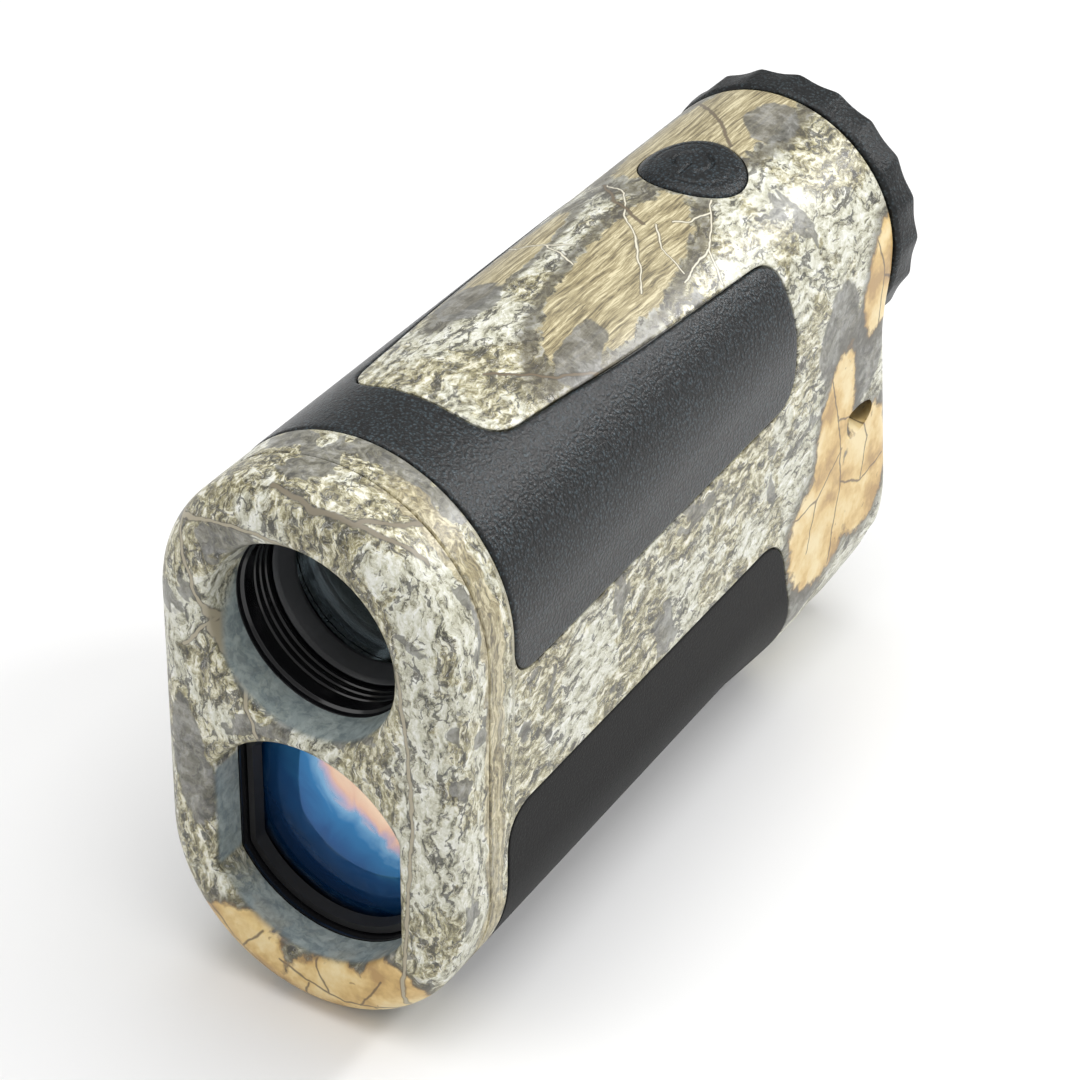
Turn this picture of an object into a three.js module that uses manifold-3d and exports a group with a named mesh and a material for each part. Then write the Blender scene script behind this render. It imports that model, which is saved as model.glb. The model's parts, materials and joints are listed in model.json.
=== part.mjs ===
// Compact laser rangefinder: a monocular above a receiver lens, in one slim hand-held housing.
// Millimetres. +Y runs from the objectives to the eyepiece, +Z is up, and +X is to the right of
// somebody who faces the objectives. Stations are measured from the front face, and the last line
// but one puts the origin under the middle of the overall box.

import * as THREE from 'three';
import { mergeVertices } from 'three/addons/utils/BufferGeometryUtils.js';
import Module from 'manifold-3d';

const wasm = await Module();
wasm.setup();

// ---------------------------------------------------------------- driving dimensions

const LENGTH = 109;            // front face to the eyecup's rim
const GAP = 0.3;               // clearance between pieces that touch
const OVAL_SIDES = 28;

// Body section: two half-round ends joined by nearly straight sides.
const FRONT_RADIUS = 20.44;    // half-width at the front face
const UPPER_REAR_RADIUS = 16.92;
const LOWER_REAR_RADIUS = 16.0;
const UPPER_CENTRE = 52.03;    // height of the upper half-round's centre at the front
const UPPER_RISE = 0.041;      // its rise per millimetre of length
const LOWER_CENTRE = 20.56;
const LOWER_RISE = -0.008;
const BODY_END = 103.2;        // station of the rear face at the eyepiece
const FRONT_FILLET = 4.2;
const REAR_FILLET = 2.4;
const BEZEL_DEPTH = 8.1;
const WALL = 2.6;
const GRIP_DEPTH = 1.0;        // thickness of the rubber armour

// The underside swells into a rear foot, and the rear face leans out below the eyepiece.
const FOOT_START = 70;
const FOOT_PEAK = 86;
const FOOT_SWELL = 1.5;
const FOOT_END_SWELL = 0.3;
const LEAN_TOP = 46;
const LEAN_TOE = 21;
const LEAN = 3.8;
const LEAN_START = 92;
const NOTCH_STATION = 102.4;   // undercut below the overhanging rear face
const NOTCH_TOP = 14.4;

// A flat sole at z = 0 lies under the belly, and arches a little between its two ends.
const SOLE_HALF_WIDTH = 7.5;
const SOLE_START = 9;
const SOLE_FULL = 16;
const ARCH_START = 42;
const ARCH_END = 84;
const ARCH_HEIGHT = 1.1;

const VIEW_AXIS = 52.4;        // height of the objective's optical axis
const EYE_AXIS = 56.0;
const RECEIVER_AXIS = 22.9;
const RECEIVER_FLAT = 12.86;   // half the distance between the receiver opening's flats
const BATTERY_AXIS = 27;

const VIEW_RIM = 12.6;
const VIEW_THROAT = 12.05;
const RECEIVER_RIM = 14.8;
const THROAT_DEPTH = 5.3;

const BARREL_RADIUS = 13.0;
const BARREL_END = 25.9;
const FRAME_RADIUS = 15.4;     // receiver lens frame
const FRAME_FLAT = 14.4;
const FRAME_END = 15.5;

const CAVITY_END = 100.6;      // inner face of the rear wall
const BULKHEAD_FRONT = 26.2;
const BULKHEAD_BACK = 28.2;
const DECK_TOP = 39.6;
const DECK_THICKNESS = 1.6;
const DECK_END = 98;

const BUTTON_STATION = 82.8;
const BUTTON_HALF_WIDTH = 6.8;
const BUTTON_HALF_LENGTH = 6.1;
const BUTTON_PROUD = 0.9;

const MODE_STATION = 88;
const MODE_HEIGHT = 30;

const EYECUP_RADIUS = 17.5;
const EYECUP_SCALLOP = 0.4;
const EYECUP_LOBES = 20;

const CR2_RADIUS = 7.8;        // CR2 lithium cell: diameter 15.6, length 27
const CR2_LENGTH = 27;

// ---------------------------------------------------------------- materials

const material = (color, roughness, metalness = 0, extra = {}) =>
  new THREE.MeshStandardMaterial({ color, roughness, metalness, ...extra });

const CAMO = material(0xa9a58a, 0.5);
const RUBBER = material(0x3b4246, 0.65);
const PAD = material(0x3c3c3c, 0.8);
const EYE_RUBBER = material(0x2f3236, 0.8);
const GLOSS_BLACK = material(0x0b0c0e, 0.25);
const MATT_BLACK = material(0x16171a, 0.6);
const RING_GREY = material(0x4b5158, 0.4, 0.6);
const ALUMINIUM = material(0xa7abb0, 0.4, 0.9);
const STEEL = material(0xb4b7ba, 0.3, 1.0);
const GLASS = material(0x9fb6c8, 0.05, 0, { transparent: true, opacity: 0.35 });
const COATED_GLASS = material(0x1c4f86, 0.05, 0, { transparent: true, opacity: 0.6 });
const BOARD_GREEN = material(0x1f5a37, 0.5);
const CHIP_BLACK = material(0x1b1b1d, 0.45);
const GOLD = material(0xc9a04a, 0.3, 1.0);
const SEAL = material(0x202020, 0.7);
const FLEX_AMBER = material(0xb06a1c, 0.45);
const CELL_WRAP = material(0x2a3f8f, 0.4);

// ---------------------------------------------------------------- solids

const model = new THREE.Group();

function toSolid(geometry) {
  const bare = geometry.index ? geometry.toNonIndexed() : geometry.clone();
  for (const name of Object.keys(bare.attributes)) {
    if (name !== 'position') bare.deleteAttribute(name);
  }
  const merged = mergeVertices(bare, 1e-4);
  return new wasm.Manifold(new wasm.Mesh({
    numProp: 3,
    vertProperties: new Float32Array(merged.attributes.position.array),
    triVerts: new Uint32Array(merged.index.array),
  }));
}

function addNode(name, solid, look) {
  const mesh = solid.getMesh();
  const geometry = new THREE.BufferGeometry();
  geometry.setAttribute('position', new THREE.BufferAttribute(new Float32Array(mesh.vertProperties), 3));
  geometry.setIndex(new THREE.BufferAttribute(new Uint32Array(mesh.triVerts), 1));
  geometry.computeVertexNormals();
  const node = new THREE.Mesh(geometry, look);
  node.name = name;
  model.add(node);
}

const moved = (geometry, x, y, z) => toSolid(geometry.translate(x, y, z));

const box = (x0, x1, y0, y1, z0, z1) => moved(
  new THREE.BoxGeometry(x1 - x0, y1 - y0, z1 - z0), (x0 + x1) / 2, (y0 + y1) / 2, (z0 + z1) / 2);

// Turned piece about the Y direction: profile points are [radius, station].
function turned(profile, height, segments = 36, x = 0) {
  const points = profile.map(([radius, station]) => new THREE.Vector2(radius, station));
  const solid = moved(new THREE.LatheGeometry(points, segments), x, 0, height);
  return solid.volume() < 0 ? toSolidFlipped(points, segments, x, height) : solid;
}

function toSolidFlipped(points, segments, x, height) {
  return moved(new THREE.LatheGeometry([...points].reverse(), segments), x, 0, height);
}

const disc = (radius, y0, y1, height, segments = 36, x = 0) =>
  turned([[0, y0], [radius, y0], [radius, y1], [0, y1]], height, segments, x);

const ring = (inner, outer, y0, y1, height, segments = 32) =>
  turned([[inner, y0], [outer, y0], [outer, y1], [inner, y1], [inner, y0]], height, segments);

// Cylinder whose axis runs along X or Z.
function rod(axis, radius, from, to, centre, segments = 20) {
  const geometry = new THREE.CylinderGeometry(radius, radius, to - from, segments);
  if (axis === 'x') {
    geometry.rotateZ(Math.PI / 2);
    return moved(geometry, (from + to) / 2, centre[0], centre[1]);
  }
  geometry.rotateX(Math.PI / 2);
  return moved(geometry, centre[0], centre[1], (from + to) / 2);
}

function outline(points) {
  const shape = new THREE.Shape();
  points.forEach(([a, b], i) => (i ? shape.lineTo(a, b) : shape.moveTo(a, b)));
  return shape;
}

// Outline with every corner rounded to its own radius: points are [a, b, radius].
function roundedOutline(points) {
  const shape = new THREE.Shape();
  points.forEach(([a, b, radius], i) => {
    const corner = new THREE.Vector2(a, b);
    const next = points[(i + 1) % points.length];
    const before = new THREE.Vector2(...points.at(i - 1).slice(0, 2)).sub(corner).setLength(radius);
    const after = new THREE.Vector2(...next.slice(0, 2)).sub(corner).setLength(radius);
    const start = corner.clone().add(before);
    const end = corner.clone().add(after);
    if (i) shape.lineTo(start.x, start.y);
    else shape.moveTo(start.x, start.y);
    shape.quadraticCurveTo(corner.x, corner.y, end.x, end.y);
  });
  return shape;
}

const extrusion = (shape, depth, curveSegments = 5) =>
  new THREE.ExtrudeGeometry(shape, { depth, bevelEnabled: false, curveSegments, steps: 1 });

// Prisms of an outline drawn in side view (y, z), top view (x, y) or front view (x, z).
function sidePrism(shape, x0, x1) {
  const geometry = extrusion(shape, x1 - x0);
  geometry.applyMatrix4(new THREE.Matrix4().set(0, 0, 1, x0, 1, 0, 0, 0, 0, 1, 0, 0, 0, 0, 0, 1));
  return toSolid(geometry);
}

const topPrism = (shape, z0, z1) => moved(extrusion(shape, z1 - z0), 0, 0, z0);

function frontPrism(shape, y0, y1) {
  const geometry = extrusion(shape, y1 - y0);
  geometry.rotateX(Math.PI / 2);
  return moved(geometry, 0, y1, 0);
}

const union = (...solids) => solids.reduce((a, b) => a.add(b));
const cut = (solid, ...tools) => tools.reduce((a, b) => a.subtract(b), solid);

// ---------------------------------------------------------------- body surface

const clamp01 = (value) => Math.min(Math.max(value, 0), 1);
const mix = (a, b, t) => a + (b - a) * t;
const smooth = (t) => t * t * (3 - 2 * t);

const upperRadius = (y) => mix(FRONT_RADIUS, UPPER_REAR_RADIUS, y / BODY_END);
const upperCentre = (y) => UPPER_CENTRE + UPPER_RISE * y;
const lowerCentre = (y) => LOWER_CENTRE + LOWER_RISE * y;

function footSwell(y) {
  const rise = smooth(clamp01((y - FOOT_START) / (FOOT_PEAK - FOOT_START)));
  const fall = clamp01((y - FOOT_PEAK) / (BODY_END - FOOT_PEAK));
  return rise * mix(FOOT_SWELL, FOOT_END_SWELL, fall);
}

const lowerRadius = (y) => mix(FRONT_RADIUS, LOWER_REAR_RADIUS, y / BODY_END);

function rearLean(y, z) {
  const along = clamp01((y - LEAN_START) / (BODY_END - LEAN_START));
  return LEAN * along * clamp01((LEAN_TOP - z) / (LEAN_TOP - LEAN_TOE));
}

const soleHalfWidth = (y) => SOLE_HALF_WIDTH * smooth(clamp01((y - SOLE_START) / (SOLE_FULL - SOLE_START)));

const soleHeight = (y) => ARCH_HEIGHT
  * Math.sin(Math.PI * clamp01((y - ARCH_START) / (ARCH_END - ARCH_START))) ** 2;

// Reach of the lower half from its centre, in a direction below the horizontal: the half-round,
// or the straight flank that runs from it to the sole's corner, or the sole.
function lowerReach(y, inset, angle) {
  const radius = lowerRadius(y) - inset + footSwell(y) * Math.sin(angle);
  const width = soleHalfWidth(y) - 0.4 * inset;
  const depth = lowerCentre(y) - soleHeight(y) - inset;
  if (width <= 0 || radius >= Math.hypot(width, depth)) return radius;
  const cornerAngle = Math.atan2(depth, width);
  const tangentAngle = cornerAngle - Math.acos(radius / Math.hypot(width, depth));
  const slope = Math.PI / 2 - Math.abs(angle - Math.PI / 2);
  if (slope >= cornerAngle) return depth / Math.sin(slope);
  return slope > tangentAngle ? radius / Math.cos(slope - tangentAngle) : radius;
}

const ARC_STEPS = 16;

// One closed ring of the body surface at a station, pulled in by an inset.
function bodyRing(y, inset, station = y, leaning = true) {
  const points = [];
  const add = (x, z) => points.push([x, station + (leaning ? rearLean(station, z) : 0), z]);
  for (let i = 0; i <= ARC_STEPS; i += 1) {
    const angle = Math.PI * i / ARC_STEPS;
    const radius = upperRadius(y) - inset;
    add(radius * Math.cos(angle), upperCentre(y) + radius * Math.sin(angle));
  }
  for (let i = 0; i <= ARC_STEPS; i += 1) {
    const angle = Math.PI * i / ARC_STEPS;
    const reach = lowerReach(y, inset, angle);
    add(-reach * Math.cos(angle), lowerCentre(y) - reach * Math.sin(angle));
  }
  return points;
}

// Closed skin through rings with the same number of points, front ring first.
function loft(rings) {
  const count = rings[0].length;
  const positions = rings.flat(2);
  const middles = [rings[0], rings.at(-1)].map((points) => {
    const middle = points.reduce((sum, point) => sum.map((v, k) => v + point[k]), [0, 0, 0]);
    return middle.map((v) => v / count);
  });
  positions.push(...middles.flat());
  const front = rings.length * count;
  const index = [];
  for (let i = 0; i < count; i += 1) {
    const j = (i + 1) % count;
    index.push(front, i, j);
    index.push(front + 1, (rings.length - 1) * count + j, (rings.length - 1) * count + i);
    for (let r = 0; r + 1 < rings.length; r += 1) {
      const [a, b] = [r * count + i, r * count + j];
      index.push(a, b + count, b, a, a + count, b + count);
    }
  }
  const geometry = new THREE.BufferGeometry();
  geometry.setAttribute('position', new THREE.Float32BufferAttribute(positions, 3));
  geometry.setIndex(index);
  return toSolid(geometry);
}

// Outside of the body between two stations, with its front and rear edges rounded.
function bodyLoft(from, to, inset) {
  const stations = [from, to];
  for (let i = 1; i < 5; i += 1) {
    stations.push(FRONT_FILLET * (1 - Math.cos(i * Math.PI / 8)));
  }
  for (const y of [9, 12, 14, 16, 42, 50, 58, 66, 72, 78, 84, 92, 97, 100.8]) stations.push(y);
  for (const share of [0.5, 0.87]) stations.push(BODY_END - REAR_FILLET * (1 - share));
  const used = [...new Set(stations)].filter((y) => y >= from && y <= to).sort((a, b) => a - b);
  return loft(used.map((y) => bodyRing(y, inset + edgeInset(y))));
}

function edgeInset(y) {
  const front = clamp01((FRONT_FILLET - y) / FRONT_FILLET);
  const rear = clamp01((y - (BODY_END - REAR_FILLET)) / REAR_FILLET);
  return FRONT_FILLET * (1 - Math.sqrt(1 - front * front)) + REAR_FILLET * (1 - Math.sqrt(1 - rear * rear));
}

const plainLoft = (stations, inset) => loft(stations.map((y) => bodyRing(y, inset, y, false)));

// Stadium clipped by two flats, as the receiver opening is.
function clippedDisc(radius, flat, y0, y1) {
  return disc(radius, y0, y1, RECEIVER_AXIS, 40).intersect(box(-flat, flat, y0 - 1, y1 + 1, 0, 60));
}

function oval(halfWidth, halfLength) {
  const turn = 2 * Math.PI / OVAL_SIDES;
  return outline(Array.from({ length: OVAL_SIDES }, (_, i) => [
    halfWidth * Math.cos(i * turn), halfLength * Math.sin(i * turn)]));
}

// ---------------------------------------------------------------- armour outlines

// Side view of the wrap-round grip: it spans the top and ends in two wings.
function wrapSide(spread) {
  return roundedOutline([
    [13.8 - spread, 90, 1],
    [13.8 - spread, 47.2 - spread, 4.5],
    [78.4 + spread, 48.4 - spread, 4.5],
    [78.4 + spread, 90, 1],
  ]);
}

// Top view of the tongue of housing that parts the two wings.
function tongueTop(spread) {
  return roundedOutline([
    [-9.2 + spread, 24 + spread, 4.5],
    [9.2 - spread, 24 + spread, 4.5],
    [10.7 - spread, 35, 3],
    [13.5 - spread, 78.4 + spread, 4],
    [24, 78.4 + spread, 1],
    [24, 120, 1],
    [-24, 120, 1],
    [-24, 78.4 + spread, 1],
    [-13.5 + spread, 78.4 + spread, 4],
    [-10.7 + spread, 35, 3],
  ]);
}

function bellySide(spread) {
  return roundedOutline([
    [12.3 - spread, -4, 1],
    [12.3 - spread, 28.9 + spread, 5],
    [76.4 + spread, 28.9 + spread, 5],
    [78.6 + spread, 18, 4],
    [84.5 + spread, -4, 1],
  ]);
}

const wrapZone = (spread) => cut(sidePrism(wrapSide(spread), -30, 30), topPrism(tongueTop(spread), 60, 90));
const bellyZone = (spread) => sidePrism(bellySide(spread), -30, 30);

// ---------------------------------------------------------------- outer shells

const WHOLE = bodyLoft(BEZEL_DEPTH + GAP, BODY_END, 0);
const UNDER_GRIP = bodyLoft(BEZEL_DEPTH + GAP, BODY_END, GRIP_DEPTH);
const SEAT = bodyLoft(BEZEL_DEPTH + GAP, BODY_END, GRIP_DEPTH + GAP);
const INTERIOR_STATIONS = [BEZEL_DEPTH, 16, 42, 63, 84, CAVITY_END];

function frontBezel() {
  const shell = bodyLoft(0, BEZEL_DEPTH, 0);
  const pocket = cut(
    plainLoft([THROAT_DEPTH - 1.5, BEZEL_DEPTH + 1], 3),
    disc(BARREL_RADIUS + 1.4, 0, 12, VIEW_AXIS),
    disc(FRAME_RADIUS + 1.3, 0, 12, RECEIVER_AXIS),
    box(-30, 30, 0, 12, 0, 30),
  );
  const viewFunnel = turned([
    [0, -1], [VIEW_RIM + 0.9, -1], [VIEW_RIM + 0.3, 0.4], [VIEW_THROAT, THROAT_DEPTH],
    [BARREL_RADIUS + GAP, THROAT_DEPTH], [BARREL_RADIUS + GAP, 10], [0, 10]], VIEW_AXIS, 48);
  const receiverFunnel = union(
    clippedDisc(RECEIVER_RIM, RECEIVER_FLAT, -1, THROAT_DEPTH + 0.1),
    clippedDisc(FRAME_RADIUS + GAP, FRAME_FLAT + GAP, THROAT_DEPTH, 10),
  );
  return cut(shell, pocket, viewFunnel, receiverFunnel);
}

function rearNotch() {
  const outline = roundedOutline([
    [NOTCH_STATION, -6, 1], [NOTCH_STATION, NOTCH_TOP, 1], [116, NOTCH_TOP + 0.6, 1], [116, -6, 1]]);
  return sidePrism(outline, -30, 30);
}

// Slanted eyelet for the wrist loop, from the right side to the rear face.
function loopTunnel() {
  const geometry = new THREE.CylinderGeometry(1.75, 1.75, 30, 20);
  geometry.rotateZ(-Math.PI / 4);
  geometry.scale(-1, 1, 1);
  geometry.index.array.reverse();
  return moved(geometry, 16.4, 97.4, 35.3);
}

function mainHousing() {
  const cavity = plainLoft(INTERIOR_STATIONS, WALL);
  const rails = [-1, 1].map((side) => box(
    side > 0 ? 11.6 : -20, side > 0 ? 20 : -11.6, 30, CAVITY_END + 0.5, 35.4, 37.7,
  ).intersect(UNDER_GRIP));
  const eyelet = box(10.3, 20, 94.5, CAVITY_END + 0.5, 31.5, 39).intersect(UNDER_GRIP);
  const shell = union(cut(WHOLE, cavity), ...rails, eyelet);
  const screwHoles = screwPlaces().map(([x, y]) => rod('z', 0.85 + GAP, 35, 39, [x, y], 12));
  return cut(
    shell,
    cut(wrapZone(GAP), SEAT),
    cut(bellyZone(GAP), SEAT),
    rearNotch(),
    loopTunnel(),
    disc(11.6 + GAP, 98, 112, EYE_AXIS),
    disc(EYECUP_RADIUS + 0.7, BODY_END, 112, EYE_AXIS, 48),
    box(-13.3, -11.5, 86, 91, 35, 38),
    disc(9, 98, 112, BATTERY_AXIS),
    disc(10.9, 103.6, 112, BATTERY_AXIS),
    topPrism(oval(BUTTON_HALF_WIDTH + GAP, BUTTON_HALF_LENGTH + GAP), 60, 90)
      .translate([0, BUTTON_STATION, 0]),
    sidePrism(oval(4.3, 3.3), -30, 0).translate([0, MODE_STATION, MODE_HEIGHT]),
    ...screwHoles,
  );
}

const wrapGrip = () => cut(WHOLE.intersect(wrapZone(0)), UNDER_GRIP);

const bellyPad = () => cut(WHOLE.intersect(bellyZone(0)), UNDER_GRIP);

function bezelGasket() {
  const stations = [BEZEL_DEPTH + GAP, BEZEL_DEPTH + 1.5];
  return cut(plainLoft(stations, WALL + GAP), plainLoft([stations[0] - 1, stations[1] + 1], WALL + 1.1));
}

// ---------------------------------------------------------------- chassis and fasteners

function screwPlaces() {
  return [[-14.6, 33], [14.6, 33], [-12.4, 80], [12.4, 80]];
}

function chassis() {
  const bulkhead = cut(
    plainLoft([BULKHEAD_FRONT, BULKHEAD_BACK], WALL + 0.4),
    disc(10.4, 20, 30, VIEW_AXIS),
    disc(12.2, 20, 30, RECEIVER_AXIS),
  );
  const deck = topPrism(outline([
    [-16, BULKHEAD_BACK - 0.5], [16, BULKHEAD_BACK - 0.5], [13.3, DECK_END], [-13.3, DECK_END],
  ]), DECK_TOP - DECK_THICKNESS, DECK_TOP);
  const tabs = [[62.5, 66.5], [91, 95]].map(([y0, y1]) => box(-10.6, -9, y0, y1, 31.2, DECK_TOP - 1));
  return cut(
    union(bulkhead, deck, ...tabs),
    box(-20, -11.6, 85.6, 91.4, 37, 41),
    box(10, 20, 94, 100, 37, 41),
    ...screwPlaces().map(([x, y]) => rod('z', 0.85 + GAP, 37, 41, [x, y], 12)),
    ...boardScrewPlaces().map(([y, z]) => rod('x', 0.7 + GAP, -12, -8, [y, z], 12)),
  );
}

function deckScrew([x, y]) {
  const shank = rod('z', 0.85, 35.8, DECK_TOP + 0.5, [x, y], 12);
  const head = rod('z', 1.7, DECK_TOP + GAP, DECK_TOP + 1.5, [x, y], 16);
  const slot = box(x - 2, x + 2, y - 0.25, y + 0.25, DECK_TOP + 1.0, DECK_TOP + 2);
  return cut(union(shank, head), slot);
}

const boardScrewPlaces = () => [[64.5, 33.2], [93, 33.2]];

function boardScrew([y, z]) {
  const shank = rod('x', 0.7, -12.4, -9.4, [y, z], 12);
  const head = rod('x', 1.4, -13, -12.2, [y, z], 16);
  return union(shank, head);
}

// ---------------------------------------------------------------- viewing objective

function objectiveBarrel() {
  const thread = [];
  for (let i = 0; i < 3; i += 1) {
    const y = THROAT_DEPTH + 1.6 + i * 1.2;
    thread.push([11.7, y], [12.0, y + 0.3], [11.7, y + 0.6]);
  }
  return turned([
    [VIEW_THROAT, THROAT_DEPTH + GAP], [BARREL_RADIUS, THROAT_DEPTH + GAP],
    [BARREL_RADIUS, BARREL_END], [10.4, BARREL_END], [10.4, 21.3], [11.7, 21.3],
    ...thread.reverse(), [VIEW_THROAT, THROAT_DEPTH + GAP]], VIEW_AXIS, 36);
}

const retainingRing = () => turned([
  [10.8, 11.4], [11.4, 11.4], [11.4, 14], [10, 14], [10, 12.6], [10.8, 11.4]], VIEW_AXIS);

// Lens with spherical faces: sag is positive where the face bulges out.
function lens(radius, y0, y1, frontSag, rearSag, height, segments = 28) {
  const steps = 3;
  const front = [];
  const rear = [];
  for (let i = 0; i <= steps; i += 1) {
    const r = radius * i / steps;
    const drop = (i / steps) ** 2;
    front.push([r, y0 + frontSag * drop]);
    rear.push([r, y1 - rearSag * drop]);
  }
  return turned([...front, ...rear.reverse()], height, segments);
}

// ---------------------------------------------------------------- receiver

function receiverFrame() {
  return cut(
    clippedDisc(FRAME_RADIUS, FRAME_FLAT, THROAT_DEPTH + GAP, FRAME_END),
    clippedDisc(14.5, 12.6, 0, 12.8),
    clippedDisc(13.2, 11.4, 12, 20),
  );
}

const receiverRetainer = () => cut(
  clippedDisc(14.2, 12.3, 6.6, 7.95), clippedDisc(13.4, 11.6, 6, 10));

const receiverLens = () => lens(14.2, 6.6, 12.5, 2.6, 0, RECEIVER_AXIS, 36)
  .intersect(box(-12.3, 12.3, 0, 20, 0, 60));

const receiverCone = () => turned([
  [12.3, 15.8], [13.4, 15.8], [6, 54], [4.9, 54], [12.3, 15.8]], RECEIVER_AXIS, 32);

const detectorCan = () => turned([
  [0, 54.3], [4.1, 54.3], [4.1, 57.6], [4.7, 57.6], [4.7, 58.3], [0, 58.3]], RECEIVER_AXIS, 28);

// ---------------------------------------------------------------- prisms, laser and display

const frontPrismBlock = () => sidePrism(outline([[48.5, 43], [64.9, 43], [53.9, 62], [48.5, 62]]), -9, 9);

const roofPrismBlock = () => sidePrism(
  outline([[66.3, 43], [69.8, 46], [69.8, 64], [57, 64], [55.3, 62]]), -9, 9);

function prismBracket() {
  const base = box(-10.6, 10.6, 47, 71, DECK_TOP + GAP, 41.4);
  const cheeks = [-1, 1].map((side) => box(
    side > 0 ? 9.4 : -10.6, side > 0 ? 10.6 : -9.4, 47, 71, 41, 60));
  return cut(union(base, ...cheeks), rod('x', 1.6, -12, -9, [58, 52], 16));
}

const laserDiode = () => union(
  rod('x', 2.3, -13.6, -10.9, [58, 52], 20),
  rod('x', 2.8, -14.3, -13.5, [58, 52], 20),
);

const displayFrame = () => cut(
  box(-10.5, 10.5, 72, 73.2, DECK_TOP + GAP, 65.5),
  box(-7.5, 7.5, 70, 75, 48.5, 63.5),
);

// ---------------------------------------------------------------- eyepiece

const ocularTube = () => turned([
  [10.6, 78.5], [11.6, 78.5], [11.6, 105.9], [10.6, 105.9], [10.6, 78.5]], EYE_AXIS);

const ocularCell = () => turned([
  [8.4, 84], [10.3, 84], [10.3, 103.4], [9.4, 103.4], [9.4, 97.2], [8.4, 97.2], [8.4, 89.6],
  [9.4, 89.6], [9.4, 85.6], [8.4, 85.6], [8.4, 84]], EYE_AXIS);

function scalloped(profile) {
  const points = profile.map(([radius, station]) => new THREE.Vector2(radius, station));
  const geometry = new THREE.LatheGeometry(points, EYECUP_LOBES * 4);
  const position = geometry.attributes.position;
  for (let i = 0; i < position.count; i += 1) {
    const [x, y, z] = [position.getX(i), position.getY(i), position.getZ(i)];
    const radius = Math.hypot(x, z);
    const weight = clamp01((radius - 16) / 1.3);
    const wave = 1 + weight * EYECUP_SCALLOP * Math.cos(EYECUP_LOBES * Math.atan2(z, x)) / radius;
    position.setXYZ(i, x * wave, y, z * wave);
  }
  return geometry.translate(0, 0, EYE_AXIS);
}

const diopterEyecup = () => toSolid(scalloped([
  [12.0, 103.5], [EYECUP_RADIUS, 103.5], [EYECUP_RADIUS, 107.8], [16.2, LENGTH],
  [14.8, LENGTH], [13.5, 105.2], [12.0, 105.2], [12.0, 103.5]]));

const eyecupRing = () => ring(11.9, 13.1, 105.5, 106.5, EYE_AXIS);

// ---------------------------------------------------------------- buttons and electronics

function powerButton() {
  const plug = topPrism(oval(BUTTON_HALF_WIDTH, BUTTON_HALF_LENGTH), 70.9, 80)
    .translate([0, BUTTON_STATION, 0]);
  const dome = moved(
    new THREE.SphereGeometry(1, 40, 24).rotateX(Math.PI / 2).scale(30, 40, 14),
    0, BUTTON_STATION, 72.6 + BUTTON_PROUD - 14);
  const crown = upperCentre(BUTTON_STATION) + upperRadius(BUTTON_STATION);
  const curve = plainLoft([60, 100], -BUTTON_PROUD + (crown - 72.85));
  return plug.intersect(dome.add(box(-1, 1, 82, 83, 60, 71))).intersect(curve);
}

const modeButton = () => sidePrism(oval(4, 3), -30, -14.1)
  .translate([0, MODE_STATION, MODE_HEIGHT])
  .intersect(plainLoft([70, 100], -0.7));

function tactileSwitch(x, y, z) {
  return union(box(x - 2, x + 2, y - 2, y + 2, z, z + 0.8), rod('z', 1, z + 0.7, z + 1.2, [x, y], 16));
}

const modeSwitch = () => box(
  -13.1, -12.2, MODE_STATION - 2, MODE_STATION + 2, MODE_HEIGHT - 2, MODE_HEIGHT + 2);

const mainBoard = () => cut(
  box(-11.9, -10.9, 62, 97, 17, 34.9),
  ...boardScrewPlaces().map(([y, z]) => rod('x', 0.7 + GAP, -13, -10, [y, z], 12)),
);

// Ribbon between the key board above the eyepiece and the main board.
function flexRibbon() {
  const route = [
    [-4.5, 67.3], [-6.8, 67.1], [-9.8, 65.7], [-12.3, 62.4], [-13.4, 58], [-13.6, 54],
    [-13.2, 45], [-12.8, 38.5], [-12.4, 34.4]];
  const back = [...route].reverse().map(([x, z]) => [x + 0.2, z - 0.2]);
  return frontPrism(outline([...route, ...back]), 86.5, 90.5);
}

// ---------------------------------------------------------------- power supply

const batteryTube = () => turned([
  [0, 69], [9.4, 69], [9.4, 100.3], [8.3, 100.3], [8.3, 70], [0, 70]], BATTERY_AXIS);

const cell = () => turned([
  [0, 73], [3.2, 73], [3.2, 74], [CR2_RADIUS, 74], [CR2_RADIUS, 73 + CR2_LENGTH],
  [0, 73 + CR2_LENGTH]], BATTERY_AXIS, 36);

class Spiral extends THREE.Curve {
  getPoint(t) {
    const angle = t * 2.5 * 2 * Math.PI;
    const radius = 5 - 2.2 * t;
    return new THREE.Vector3(radius * Math.cos(angle), 70.8 + 1.4 * t, radius * Math.sin(angle));
  }
}

function contactSpring() {
  const wire = new THREE.Shape();
  wire.absellipse(0, 0, 0.3, 0.3, 0, 2 * Math.PI);
  const geometry = new THREE.ExtrudeGeometry(wire, {
    steps: 36, curveSegments: 2, bevelEnabled: false, extrudePath: new Spiral() });
  return moved(geometry, 0, 0, BATTERY_AXIS);
}

const CAP_FACE = 107.8;
const TAB_PIVOT = [106.8, 27.2];
const TAB_PIN_RADIUS = 0.45;

function batteryCap() {
  const profile = [
    [0, 100.6], [8.7, 100.6], [8.7, 105], [10.6, 105],
    [10.6, CAP_FACE - 0.5], [10.1, CAP_FACE], [0, CAP_FACE]];
  const body = turned(profile, BATTERY_AXIS, 48);
  return cut(
    body,
    box(-7.3, 7.3, 105.2, 110, 17.6, 28.8),
    rod('x', TAB_PIN_RADIUS + GAP, -8.9, 8.9, TAB_PIVOT, 12),
  );
}

const capSeal = () => ring(9.3, 10.3, 103.9, 104.7, BATTERY_AXIS);

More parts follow.
